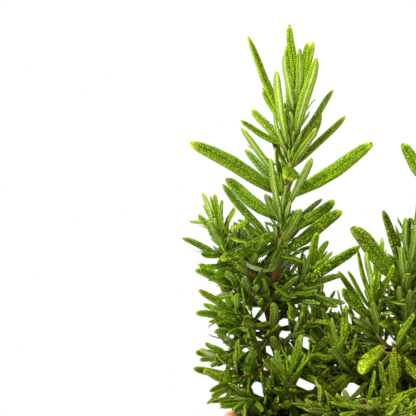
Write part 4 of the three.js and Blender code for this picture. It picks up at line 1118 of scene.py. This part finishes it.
# %% Model the straight leaf
# A section's corners are across and up, for a leaf that is half as wide as 1. An outline's rows are how
# far along the leaf they are, and how wide it is there.
LEAF_SECTION = [
    (1, -0.08),
    (0.62, 0.36),
    (0, 0.12),
    (-0.62, 0.36),
    (-1, -0.08),
    (-0.62, -0.34),
    (0, -0.08),
    (0.62, -0.34),
]
SMALL_SECTION = [(1, -0.06), (0.5, 0.28), (0, 0.16), (-0.5, 0.28), (-1, -0.06), (0, -0.24)]
LEAF_OUTLINE = [
    (0.0, 0.34),
    (0.06, 0.44),
    (0.16, 0.68),
    (0.34, 0.93),
    (0.56, 1.0),
    (0.77, 0.92),
    (0.89, 0.77),
    (0.955, 0.56),
    (0.988, 0.33),
]
SMALL_OUTLINE = [(0.0, 0.36), (0.18, 0.76), (0.46, 1.0), (0.76, 0.84), (0.94, 0.46)]


def straight_leaf(name, section, outline):
    """A leaf along +Y from 0 to 1, half as wide as 1, with its top to +Z."""
    shape = bmesh.new()
    layers = {key: shape.verts.layers.float.new(key) for key in ("leaf_across", "leaf_along", "leaf_under")}

    def corner(across, height, along, width):
        made = shape.verts.new((across * width, along, height * width))
        made[layers["leaf_across"]] = across
        made[layers["leaf_along"]] = along
        made[layers["leaf_under"]] = 1.0 if height < 0 else 0.0
        return made

    rings = [[corner(x, z, along, width) for x, z in section] for along, width in outline]
    sides = len(section)
    for low, high in zip(rings, rings[1:]):
        for side in range(sides):
            after = (side + 1) % sides
            shape.faces.new((low[side], low[after], high[after], high[side]))
    point = corner(0, 0.1, 1.0, 0.2)
    for side in range(sides):
        shape.faces.new((rings[-1][side], rings[-1][(side + 1) % sides], point))
    shape.faces.new(rings[0][::-1])
    bmesh.ops.recalc_face_normals(shape, faces=shape.faces[:])
    print(name, "has", len(shape.faces), "faces")
    return object_from(shape, name, linked=False)


straight = straight_leaf("straight_leaf", LEAF_SECTION, LEAF_OUTLINE)
straight_small = straight_leaf("straight_small_leaf", SMALL_SECTION, SMALL_OUTLINE)

# %% Bend a leaf on its point
LEAF_TWIST = 1.2
# Each wave's pace along the leaf, how far a leaf's tone moves its start, and its size.
SWAY = (4.1, 61.0, 1.4)
SWING = (5.3, 37.0, 1.0)


def geo(tree, kind, inputs=None, **settings):
    """The first output of a new Geometry Nodes node."""
    return add(tree, "GeometryNode" + kind, inputs, **settings).outputs[0]


def named(tree, name, make=Number):
    """A number, or an arrow, that every point carries."""
    data_type = "FLOAT" if make is Number else "FLOAT_VECTOR"
    return make(tree, geo(tree, "InputNamedAttribute", {"Name": name}, data_type=data_type))


def copied(tree, model, points, **inputs):
    """Real copies of an object on points."""
    shape = add(tree, "GeometryNodeObjectInfo", {"Object": model}).outputs["Geometry"]
    copies = geo(tree, "InstanceOnPoints", {"Points": points, "Instance": shape, **inputs})
    return geo(tree, "RealizeInstances", {0: copies})


def dressed(tree, geometry, material):
    """The geometry with smooth faces and its finish."""
    smooth = geo(tree, "SetShadeSmooth", {"Geometry": geometry})
    return geo(tree, "SetMaterial", {"Geometry": smooth, "Material": material})


def put_out(tree, pieces):
    """Joins the pieces and lets them out of the tree."""
    joined = add(tree, "GeometryNodeJoinGeometry")
    for piece in pieces:
        tree.links.new(piece, joined.inputs[0])
    add(tree, "NodeGroupOutput", {0: joined.outputs[0]})


def wave(along, tone, pace, start, size):
    """A slow wave along the leaf, none at its root and its tip, that starts elsewhere on every leaf."""
    turn = along * pace + tone * start
    return turn.put("SINE") * (along * (1.0 - along) * size)


def bent_leaves(tree, points, leaf, material):
    """Puts a straight leaf on every point and bends it on the point's root, knee and tip."""
    leaves = copied(tree, leaf, geo(tree, "MeshToPoints", {"Mesh": points}))
    along, half, tone = [named(tree, "leaf_" + key) for key in ("along", "half", "tone")]
    root, knee, tip, top = [named(tree, "leaf_" + key, Arrow) for key in ("root", "knee", "tip", "top")]
    rest = 1.0 - along
    middle = root * (rest * rest) + knee * (along * rest * 2.0) + tip * (along * along)
    direction = (knee - root) * rest + (tip - knee) * along
    side = direction.cross(top).unit()
    over = side.cross(direction).unit()
    middle = middle + side * (wave(along, tone, *SWAY) * half)
    middle = middle + over * (wave(along, tone, *SWING) * half)
    twist = (tone - 0.5) * (along * LEAF_TWIST)
    cosine = twist.put("COSINE")
    sine = twist.put("SINE")
    side, over = side * cosine + over * sine, over * cosine - side * sine

    straight_place = Arrow(tree, geo(tree, "InputPosition"))
    wide = straight_place.part(0) * half
    high = straight_place.part(2) * half
    place = middle + side * wide + over * high
    pattern = {0: wide, 1: along * root.distance(tip), 2: tone}
    pattern = add(tree, "ShaderNodeCombineXYZ", pattern).outputs[0]
    inputs = {"Geometry": leaves, "Name": "leaf_place", "Value": pattern}
    leaves = geo(tree, "StoreNamedAttribute", inputs, data_type="FLOAT_VECTOR", domain="POINT")
    leaves = geo(tree, "SetPosition", {"Geometry": leaves, "Position": place})
    return dressed(tree, leaves, material)


print("a leaf sways by", SWAY[2] / 4, "and swings by", SWING[2] / 4, "half widths at most")

# %% Sweep the bark, and join bark and leaves to a shoot
BARK_STEP = 0.0012
BARK_LUMPS = 420.0


def swept_bark(tree, line, sides, step, material):
    """Sweeps a ring along the middle line at the line's own radius, and roughens it a little."""
    curve = geo(tree, "MeshToCurve", {"Mesh": line})
    curve = geo(tree, "CurveSplineType", {"Curve": curve}, spline_type="CATMULL_ROM")
    curve = geo(tree, "ResampleCurve", {"Curve": curve, "Length": step}, mode="LENGTH")
    ring = geo(tree, "CurvePrimitiveCircle", {"Resolution": sides, "Radius": 1.0})
    radius = named(tree, "bark_radius")
    inputs = {"Curve": curve, "Profile Curve": ring, "Scale": radius, "Fill Caps": True}
    skin = geo(tree, "CurveToMesh", inputs)
    inputs = {"Vector": geo(tree, "InputPosition"), "Scale": BARK_LUMPS, "Detail": 2.0}
    cloud = Number(tree, add(tree, "ShaderNodeTexNoise", inputs).outputs["Fac"])
    offset = Arrow(tree, geo(tree, "InputNormal")) * ((cloud - 0.5) * radius)
    rough = geo(tree, "SetPosition", {"Geometry": skin, "Offset": offset})
    return dressed(tree, rough, material)


def shoot_tree():
    rows = [
        ("Geometry", "Geometry"),
        ("Leaf", "Object"),
        ("Small leaf", "Object"),
        ("Bark sides", "Int"),
        ("Bark step", "Float", BARK_STEP),
        ("Leaf finish", "Material"),
        ("Bark finish", "Material"),
    ]
    tree, given = new_group("leafy_shoot", "GeometryNodeTree", rows, [("Geometry", "Geometry")])
    part = named(tree, "shoot_part")
    inputs = {"Geometry": given["Geometry"], "Selection": part > 0.5}
    parts = add(tree, "GeometryNodeSeparateGeometry", inputs).outputs
    inputs = {"Geometry": parts["Selection"], "Selection": part > 1.5}
    sizes = add(tree, "GeometryNodeSeparateGeometry", inputs).outputs
    pieces = [
        bent_leaves(tree, sizes["Inverted"], given["Leaf"], given["Leaf finish"]),
        bent_leaves(tree, sizes["Selection"], given["Small leaf"], given["Leaf finish"]),
        swept_bark(tree, parts["Inverted"], given["Bark sides"], given["Bark step"], given["Bark finish"]),
    ]
    put_out(tree, pieces)
    return tree


SHOOT_TREE = shoot_tree()
print("the shoot tree has", len(SHOOT_TREE.nodes), "nodes")

# %% [markdown]
# ## How green each leaf is
#
# On a real plant no two leaves are alike. They are lime green at the shoots' tips and in the tufts, a
# clear green high up, and more olive the lower they are. They are also darker and duller the lower and
# more to the left they stand, partly as ageing and partly as painted shade for the inside of the plant.
# A colour for each of 3,900 leaves can't be picked by hand, and noise alone would forget how a plant
# ages. So a few rules turn a leaf's place into numbers, which its finish reads as attributes, and each
# leaf draws its tone.


# %% Rules for ageing with painted shade, warmth and spots
def ramp(value, start, end):
    """0 before start, 1 after end, in millimetres, and straight between them."""
    return min(max((value / MM - start) / (end - start), 0), 1)


def warmth(place):
    """How olive the leaves are: more to the right and low in the plant."""
    return 0.7 * ramp(place.z, 152, 118) * (0.35 + 0.65 * ramp(place.x, -50, -16))


def youth(stem, leaf, small):
    """How lime green a leaf is: near the stem's tip, and in the tufts."""
    share = stem.nearest(leaf["root"]) / stem.length
    young = min(max((share - 0.62) / 0.3, 0), 1)
    high = max(ramp(leaf["tip"].z, 112, 152), 0.25)
    return min(0.8 * young + (0.3 * share if small else 0), 1) * high


def age_and_painted_shade(place):
    """How dark and dull the leaves are, partly as ageing and partly as painted shade: the lower in the
    plant and the more to the left, the darker.
    """
    return ramp(place.z, 214, 146) * (1 - 0.5 * ramp(place.x, -22, -8) * ramp(place.z, 165, 145))


def spottiness(leaf):
    """How strong the leaf's light specks are, which are partly painted highlight: broad leaves have them
    clearly, most of all low on the right.
    """
    low = ramp(leaf["tip"].z, 168, 152)
    right = ramp(leaf["tip"].x, -28, -12) * low
    return ramp(leaf["half"], 0.8, 1.7) * (0.75 + 0.8 * right) + ramp(leaf["half"], 2.1, 2.4) * low


def woodiness(middle, leader):
    """How brown and flaky the bark is: low on the stems, and most on the leaders."""
    return ramp(middle.z, 164, 142) * (1 if leader else 0.55)


print("age at 214, 180 and 146 mm:", [round(age_and_painted_shade(Vector((-0.05, 0, z * MM))), 2) for z in (214, 180, 146)])

# %% The points of a stem
# A young leaf narrower than this, from its middle to its edge, is made from the plainer small leaf.
SMALL_HALF = 1.0 * MM
# The bark is drawn at these shares of the solids' radius, which is kept thick enough to hold the leaves.
LEADER_BARK = 0.93
SHOOT_BARK = 0.74


def points_of(name):
    """The middle lines of a stem and its twigs, and its leaf points, as one mesh with attributes."""
    line, leaves = stems[name]
    stem = Stem(line)
    rows = [(leaf, 1) for leaf in leaves]
    rows += [(leaf, 2 if leaf["half"] < SMALL_HALF else 1) for leaf in young_leaves[name]]
    rings = []
    edges = []
    for branch in [line, *twigs[name]]:
        edges += [(len(rings) + step, len(rings) + step + 1) for step in range(len(branch) - 1)]
        rings += branch
    origin = Vector((0, 0, 0))
    mesh = bpy.data.meshes.new(name + "_points")
    mesh.from_pydata([middle for middle, _ in rings] + [origin] * len(rows), edges, [])

    def on_rings(attribute, values):
        layer = mesh.attributes.new(attribute, "FLOAT", "POINT")
        layer.data.foreach_set("value", values + [0.0] * len(rows))

    def on_leaves(attribute, values):
        layer = mesh.attributes.new(attribute, "FLOAT", "POINT")
        layer.data.foreach_set("value", [0.0] * len(rings) + values)

    def arrows_on_leaves(attribute, values):
        layer = mesh.attributes.new(attribute, "FLOAT_VECTOR", "POINT")
        numbers = [number for value in [origin] * len(rings) + values for number in value]
        layer.data.foreach_set("vector", numbers)

    slimmer = LEADER_BARK if is_leader(name) else SHOOT_BARK
    on_rings("bark_radius", [radius * slimmer for _, radius in rings])
    on_rings("bark_woody", [woodiness(middle, is_leader(name)) for middle, _ in rings])
    for key in ("root", "knee", "tip", "top"):
        arrows_on_leaves("leaf_" + key, [leaf[key] for leaf, _ in rows])
    young = [youth(stem, leaf, part == 2) for leaf, part in rows]
    pale = [1.0 if leaf.get("pale") else 0.0 for leaf, _ in rows]
    # The old number darkens a leaf, partly as ageing and partly as painted shade, none on lime or felted
    # leaves.
    old = [age_and_painted_shade(leaf["tip"]) * (1 - lime) * (1 - felt) for (leaf, _), lime, felt in zip(rows, young, pale)]
    on_leaves("shoot_part", [float(part) for _, part in rows])
    on_leaves("leaf_half", [leaf["half"] for leaf, _ in rows])
    on_leaves("leaf_tone", [draw.random() for _ in rows])
    on_leaves("leaf_young", young)
    on_leaves("leaf_warm", [warmth(leaf["tip"]) for leaf, _ in rows])
    on_leaves("leaf_old", old)
    on_leaves("leaf_spots", [spottiness(leaf) for leaf, _ in rows])
    on_leaves("leaf_felted", pale)
    return mesh


print("leaf points:", sum(len(stems[name][1]) + len(young_leaves[name]) for name in stems))

# %% Grow every stem
LEADER_SIDES = 14
SHOOT_SIDES = 8
USED_UP = ("shoot_part", "leaf_root", "leaf_knee", "leaf_tip", "leaf_top", "leaf_half", "bark_radius")


def set_inputs(modifier, values):
    """Sets a modifier's inputs by their names in the tree."""
    for item in modifier.node_group.interface.items_tree:
        if item.in_out == "INPUT" and item.name in values:
            modifier[item.identifier] = values[item.name]


def plain_mesh(obj, name):
    """The evaluated object as a plain mesh object at the origin."""
    bpy.context.view_layer.update()
    graph = bpy.context.evaluated_depsgraph_get()
    mesh = bpy.data.meshes.new_from_object(obj.evaluated_get(graph))
    mesh.name = name
    made = bpy.data.objects.new(name, mesh)
    bpy.context.collection.objects.link(made)
    bpy.data.objects.remove(obj)
    return made


def grow_shoot(name):
    """Grows one leafy stem in the place of its solid, and counts its triangles."""
    holder = bpy.data.objects.new(name + "_points", points_of(name))
    bpy.context.collection.objects.link(holder)
    modifier = holder.modifiers.new("grow", "NODES")
    modifier.node_group = SHOOT_TREE
    values = {"Leaf": straight, "Small leaf": straight_small, "Leaf finish": LEAF, "Bark finish": BARK}
    values["Bark sides"] = LEADER_SIDES if is_leader(name) else SHOOT_SIDES
    set_inputs(modifier, values)
    shoot = plain_mesh(holder, name + "_grown")
    for key in USED_UP:
        layer = shoot.data.attributes.get(key)
        if layer:
            shoot.data.attributes.remove(layer)
    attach(shoot, "root")
    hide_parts(name)
    return len(shoot.data.loop_triangles)


triangles = {name: grow_shoot(name) for name in STEM_NODES}
print("triangles on the shoots:", sum(triangles.values()), "most on one:", max(triangles.values()))

# %% [markdown]
# ## The pot
#
# A common flower pot is pressed or thrown: a wall that widens upwards, a thick rim band to lift it by,
# and a drain hole. One closed profile holds all of it. Its corners are rounded first, because fired clay
# has no sharp edge, and then it is turned round the axis. Blender's Spin could turn it too, but not with
# a radius that drifts a little with the height and round the pot, as the potter's fingers leave it.

# %% The pot's profile
# From the drain hole out, up and back down inside: each corner's radius, its height and how much of it
# is rounded off, in millimetres.
POT_CORNERS = [
    (6.0, 0.0, 0.6),
    (36.8, 0.0, 0.8),
    (38.0, 1.4, 0.9),
    (50.5, 77.0, 0.7),
    (53.4, 78.0, 0.7),
    (54.0, 79.6, 0.9),
    (55.0, 98.0, 1.2),
    (53.8, 100.0, 1.0),
    (51.2, 100.0, 1.0),
    (49.9, 98.0, 1.2),
    (35.3, 9.0, 1.5),
    (33.0, 7.0, 1.0),
    (6.0, 7.0, 0.6),
]
RING_PACE = 0.42
RING_DEPTH = 0.14
OUT_OF_ROUND = 0.16
LONGEST_STEP = 2.2
# The most of an edge that its rounded corner takes, and where the arc's points are on it.
LONGEST_ARC = 0.45
ARC_SHARES = (0.0, 0.33, 0.67, 1.0)


def rounded(corners):
    """A closed profile in millimetres with each corner turned into a short arc."""
    points = []
    for number, (radius, height, size) in enumerate(corners):
        corner = Vector((radius, height))
        before = Vector(corners[number - 1][:2]) - corner
        after = Vector(corners[(number + 1) % len(corners)][:2]) - corner
        start = corner + before * min(size / before.length, LONGEST_ARC)
        end = corner + after * min(size / after.length, LONGEST_ARC)
        for share in ARC_SHARES:
            points.append(start * (1 - share) ** 2 + corner * (2 * share * (1 - share)) + end * share**2)
    return points


def evened(points):
    """The same closed profile with its long edges cut into short ones."""
    row = []
    for start, end in zip(points, points[1:] + points[:1]):
        cuts = max(1, math.ceil((end - start).length / LONGEST_STEP))
        row += [start.lerp(end, cut / cuts) for cut in range(cuts)]
    return row


def thrown(point, angle):
    """A profile point's radius where the potter left it, in millimetres."""
    rings = noise.noise(Vector((point.y * RING_PACE, 0, 4.1)))
    turn = noise.noise(Vector((math.cos(angle) * 0.9, math.sin(angle) * 0.9, point.y * 0.02)))
    return point.x + RING_DEPTH * rings + OUT_OF_ROUND * turn * min(point.y / 20, 1)


PROFILE = evened(rounded(POT_CORNERS))
print("points on the pot's profile:", len(PROFILE))

# %% Turn it round the axis
POT_SIDES = 144
# The radius and height of the edges that are knocked most, in millimetres, and how far the wear reaches.
WORN_EDGES = ((55, 98), (53.8, 100), (51.2, 100), (54, 79), (38, 0.8))
WEAR_REACH = 1.4


def turned_body(name, profile, sides, radius_at):
    """Turns a closed profile round the axis, with each point's radius given for its angle."""
    shape = bmesh.new()
    rings = []
    for side in range(sides):
        angle = 2 * math.pi * side / sides
        ring = []
        for point in profile:
            radius = radius_at(point, angle) * MM
            ring.append(shape.verts.new((radius * math.cos(angle), radius * math.sin(angle), point.y * MM)))
        rings.append(ring)
    for here, there in zip(rings, rings[1:] + rings[:1]):
        for step in range(len(profile)):
            after = (step + 1) % len(profile)
            shape.faces.new((here[step], there[step], there[after], here[after]))
    bmesh.ops.recalc_face_normals(shape, faces=shape.faces[:])
    for face in shape.faces:
        face.smooth = True
    return object_from(shape, name)


def worn_edge(place):
    """How worn the clay is: most on the rim's edges, the band's lower edge and the foot."""
    here = Vector((math.hypot(place.x, place.y), place.z)) / MM
    gaps = [(here - Vector(spot)).length for spot in WORN_EDGES]
    return max(math.exp(-((gap / WEAR_REACH) ** 2)) for gap in gaps)


pot = turned_body("terracotta_pot", PROFILE, POT_SIDES, thrown)
worn = pot.data.attributes.new("pot_wear", "FLOAT", "POINT")
worn.data.foreach_set("value", [worn_edge(vertex.co) for vertex in pot.data.vertices])
print("pot faces:", len(pot.data.polygons))

# %% [markdown]
# ## The clay's finish
#
# Unglazed terracotta is salmon to orange, with fine grains that stand out, darker sandy specks, and
# horizontal streaks from the turning. Lime from the water dries to a white bloom that is strongest
# under the rim and near the foot. Edges that are knocked and handled are paler. All of it is layered
# over one colour by masks, so that each layer can be made stronger or weaker by itself.

# %% Clay material
CLAY = (0.60, 0.21, 0.12, 1)
CLAY_DEEP = (0.43, 0.13, 0.075, 1)
CLAY_PALE = (0.72, 0.33, 0.235, 1)
CLAY_SPECK = (0.20, 0.08, 0.045, 1)
CLAY_BLOOM = (0.74, 0.64, 0.55, 1)
# The heights in metres between which the bloom comes and goes.
FOOT_BLOOM = (0.03, 0.0)
BAND_BLOOM_STARTS = (0.055, 0.078)
BAND_BLOOM_ENDS = (0.092, 0.079)
LEAST_BLOOM = 0.25


def clay_finish():
    material, tree, surface = finish_of("terracotta_clay", (0.85, 0.5, 0.38))
    place = place_on(tree)
    height = place.part(2)
    streaks = patches(place * (0.12, 0.12, 1.0), 330.0, 0.35, 0.7)
    clouds = patches(place, 38.0, 0.38, 0.66)
    grain, picked = pebbles(place, 1700.0, 0.08)
    color = blend(clouds, CLAY, CLAY_DEEP)
    color = blend(streaks * 0.4, color, CLAY_PALE)
    color = blend(picked * 0.7, color, CLAY_SPECK)
    low = between(height, *FOOT_BLOOM)
    under_rim = between(height, *BAND_BLOOM_STARTS) * between(height, *BAND_BLOOM_ENDS)
    where = low.put("MAXIMUM", under_rim).put("MAXIMUM", LEAST_BLOOM)
    bloom = patches(place, 95.0, 0.5, 0.72) * where
    color = blend(bloom * 0.85, color, CLAY_BLOOM)
    wear = read(tree, "pot_wear") * patches(place, 210.0, 0.3, 0.6)
    color = blend(wear * 0.75, color, CLAY_PALE)
    fill(surface, {"Base Color": color, "Roughness": from_to(clouds, 0.82, 0.95)})
    fill(surface, {"Specular IOR Level": 0.25})
    raise_by(surface, grain * 0.35 + streaks * 0.6, 0.0002, 0.8)
    return material


pot.data.materials.append(clay_finish())
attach(pot, "root")
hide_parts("pot")
print("finish:", pot.data.materials[0].name)

# %% [markdown]
# ## The soil
#
# Potting mix is a loose crumb of peat and bark. Its body here is one closed form that fills the pot,
# with a rough top that rises a little round each stem. A flat disc with bumps in its finish alone would
# show as one from the side, so the top's height is worked out point by point from noise.

# %% Shape the soil
SOIL_SIDES = 120
SOIL_RINGS = 40
SOIL_EDGE = Vector((48.2, 90.2))
SOIL_LOW = [(47.4, 81.0), (42.6, 50.0), (37.9, 21.0), (35.2, 9.4), (32.9, 7.4)]
SOIL_DOME = 1.8
MOUND_REACH = 5.0
MOUND_HEIGHT = 1.1
# The soil's coarse and fine roughness: the pace in a millimetre, and the size in millimetres.
COARSE_PACE, COARSE_SIZE = 0.13, 0.75
FINE_PACE, FINE_SIZE = 0.9, 0.28
# The share of the way up to the soil's top at which a leader's foot is found.
FOOT_SHARE = 0.98

trunk_feet = []
for name, (line, _) in stems.items():
    if is_leader(name):
        trunk_feet.append(Stem(line).at((SOIL_TOP - line[0][0].z) * FOOT_SHARE)[0] / MM)


def soil_height(x, y):
    """The soil's height in millimetres at a place in millimetres."""
    far = math.hypot(x, y) / SOIL_EDGE.x
    coarse = noise.fractal(Vector((x * COARSE_PACE, y * COARSE_PACE, 2.7)), 1.0, 2.0, 4)
    fine = noise.noise(Vector((x * FINE_PACE, y * FINE_PACE, 8.3)))
    gaps = [math.hypot(x - foot.x, y - foot.y) for foot in trunk_feet]
    mound = sum(math.exp(-((gap / MOUND_REACH) ** 2)) for gap in gaps)
    rough = (COARSE_SIZE * coarse + FINE_SIZE * fine) * min(1, 6 * (1 - far))
    return SOIL_EDGE.y + SOIL_DOME * (1 - far**4) + rough + MOUND_HEIGHT * mound


def soil_body():
    """The soil as one closed body: its rough top ring by ring, and then its plain sides and bottom."""
    shape = bmesh.new()
    middle = shape.verts.new((0, 0, soil_height(0, 0) * MM))
    rings = [(SOIL_EDGE.x * step / SOIL_RINGS, None) for step in range(1, SOIL_RINGS + 1)]
    rows = []
    for radius, height in rings + SOIL_LOW:
        row = []
        for side in range(SOIL_SIDES):
            angle = 2 * math.pi * side / SOIL_SIDES
            x = radius * math.cos(angle)
            y = radius * math.sin(angle)
            z = soil_height(x, y) if height is None else height
            row.append(shape.verts.new((x * MM, y * MM, z * MM)))
        rows.append(row)
    for side in range(SOIL_SIDES):
        after = (side + 1) % SOIL_SIDES
        shape.faces.new((middle, rows[0][side], rows[0][after]))
        for inner, outer in zip(rows, rows[1:]):
            shape.faces.new((inner[side], outer[side], outer[after], inner[after]))
    shape.faces.new(rows[-1])
    bmesh.ops.recalc_face_normals(shape, faces=shape.faces[:])
    return object_from(shape, "soil_body")


soil = soil_body()
print("soil faces:", len(soil.data.polygons), "stems in it:", len(trunk_feet))

# %% [markdown]
# ## What lies on the soil, and the finishes
#
# Crumbs, chips of bark and white grains of perlite lie on the soil. They are real pieces that a Geometry
# Nodes tree scatters, and not a picture, so that the surface holds up from every side. Three small
# stones are modelled, and each is copied with a turn and a size of its own. One function makes the three
# finishes, because they differ only in colour, grain and relief.

# %% Soil, chip and perlite materials
SOIL_DARK = (0.018, 0.011, 0.007, 1)
SOIL_MID = (0.062, 0.038, 0.022, 1)
SOIL_FIBRE = (0.16, 0.10, 0.055, 1)
CHIP_DARK = (0.09, 0.045, 0.02, 1)
CHIP_PALE = (0.27, 0.16, 0.08, 1)
PERLITE = (0.74, 0.72, 0.67, 1)
PERLITE_DIRT = (0.38, 0.31, 0.23, 1)
# A patch of one tone is about as large as three grains.
PATCH_SHARE = 0.35


def loose_finish(name, dark, mid, light, scale, share, relief):
    """A finish for what lies loose: two tones in patches, a few light grains and a rough skin."""
    material, tree, surface = finish_of(name, mid[:3])
    place = place_on(tree)
    grain, picked = pebbles(place, scale, share)
    color = blend(patches(place, scale * PATCH_SHARE, 0.38, 0.62), dark, mid)
    fill(surface, {"Base Color": blend(picked, color, light), "Roughness": from_to(grain, 0.98, 0.78)})
    fill(surface, {"Specular IOR Level": 0.2})
    raise_by(surface, grain, relief)
    return material


SOIL = loose_finish("potting_soil", SOIL_DARK, SOIL_MID, SOIL_FIBRE, 900.0, 0.12, 0.0005)
CHIP = loose_finish("bark_chip", CHIP_DARK, CHIP_PALE, SOIL_FIBRE, 1500.0, 0.2, 0.0002)
WHITE_GRAIN = loose_finish("perlite_grain", PERLITE_DIRT, PERLITE, PERLITE, 1300.0, 0.6, 0.0003)
soil.data.materials.append(SOIL)
print("finishes:", SOIL.name, CHIP.name, WHITE_GRAIN.name)

# %% Scatter crumbs, chips and perlite
# Pieces are scattered where the soil's normal points up by more than this.
FACING_UP = 0.3
TURN_SEED = 10
SIZE_SEED = 20


def lump(name, stretch, roughness, seed):
    """A small irregular stone, one unit across."""
    shape = bmesh.new()
    bmesh.ops.create_icosphere(shape, subdivisions=1, radius=0.5)
    wild = random.Random(seed)
    for corner in shape.verts:
        corner.co *= 1 + roughness * (wild.random() - 0.5)
        corner.co = Vector(a * b for a, b in zip(corner.co, stretch))
    return object_from(shape, name, linked=False)


# Each kind: its stone, its finish, how many there are on a square metre, and its smallest and largest.
KINDS = {
    "Crumb": (lump("crumb", (1, 1, 0.8), 0.7, 1), SOIL, 240000.0, 0.7 * MM, 2.4 * MM),
    "Chip": (lump("chip", (1.6, 0.7, 0.35), 0.5, 2), CHIP, 32000.0, 1.6 * MM, 4.2 * MM),
    "Perlite": (lump("perlite", (1, 1, 0.9), 0.4, 3), WHITE_GRAIN, 17000.0, 0.9 * MM, 2.4 * MM),
}


def scatter_tree():
    rows = [("Geometry", "Geometry")]
    for kind in KINDS:
        rows += [(kind, "Object"), (kind + " finish", "Material"), (kind + " density", "Float")]
        rows += [(kind + " smallest", "Float"), (kind + " largest", "Float")]
    tree, given = new_group("soil_scatter", "GeometryNodeTree", rows, [("Geometry", "Geometry")])
    on_top = Arrow(tree, geo(tree, "InputNormal")).part(2) > FACING_UP
    pieces = []
    for seed, kind in enumerate(KINDS):
        inputs = {"Mesh": given["Geometry"], "Selection": on_top, "Seed": seed}
        inputs["Density"] = given[kind + " density"]
        spots = geo(tree, "DistributePointsOnFaces", inputs)
        turn = {0: (0.0, 0.0, 0.0), 1: (math.tau, math.tau, math.tau), "Seed": seed + TURN_SEED}
        turn = add(tree, "FunctionNodeRandomValue", turn, data_type="FLOAT_VECTOR").outputs[0]
        size = {2: given[kind + " smallest"], 3: given[kind + " largest"], "Seed": seed + SIZE_SEED}
        size = add(tree, "FunctionNodeRandomValue", size, data_type="FLOAT").outputs[1]
        stones = copied(tree, given[kind], spots, Rotation=turn, Scale=size)
        inputs = {"Geometry": stones, "Material": given[kind + " finish"]}
        pieces.append(geo(tree, "SetMaterial", inputs))
    put_out(tree, [*pieces, given["Geometry"]])
    return tree


scatter = soil.modifiers.new("scatter", "NODES")
scatter.node_group = scatter_tree()
values = {}
for kind, (stone, finish, density, smallest, largest) in KINDS.items():
    values.update({kind: stone, kind + " finish": finish, kind + " density": density})
    values.update({kind + " smallest": smallest, kind + " largest": largest})
set_inputs(scatter, values)
soil = plain_mesh(soil, "crumbly_soil")
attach(soil, "root")
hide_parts("potting_soil")
print("soil triangles:", len(soil.data.loop_triangles))
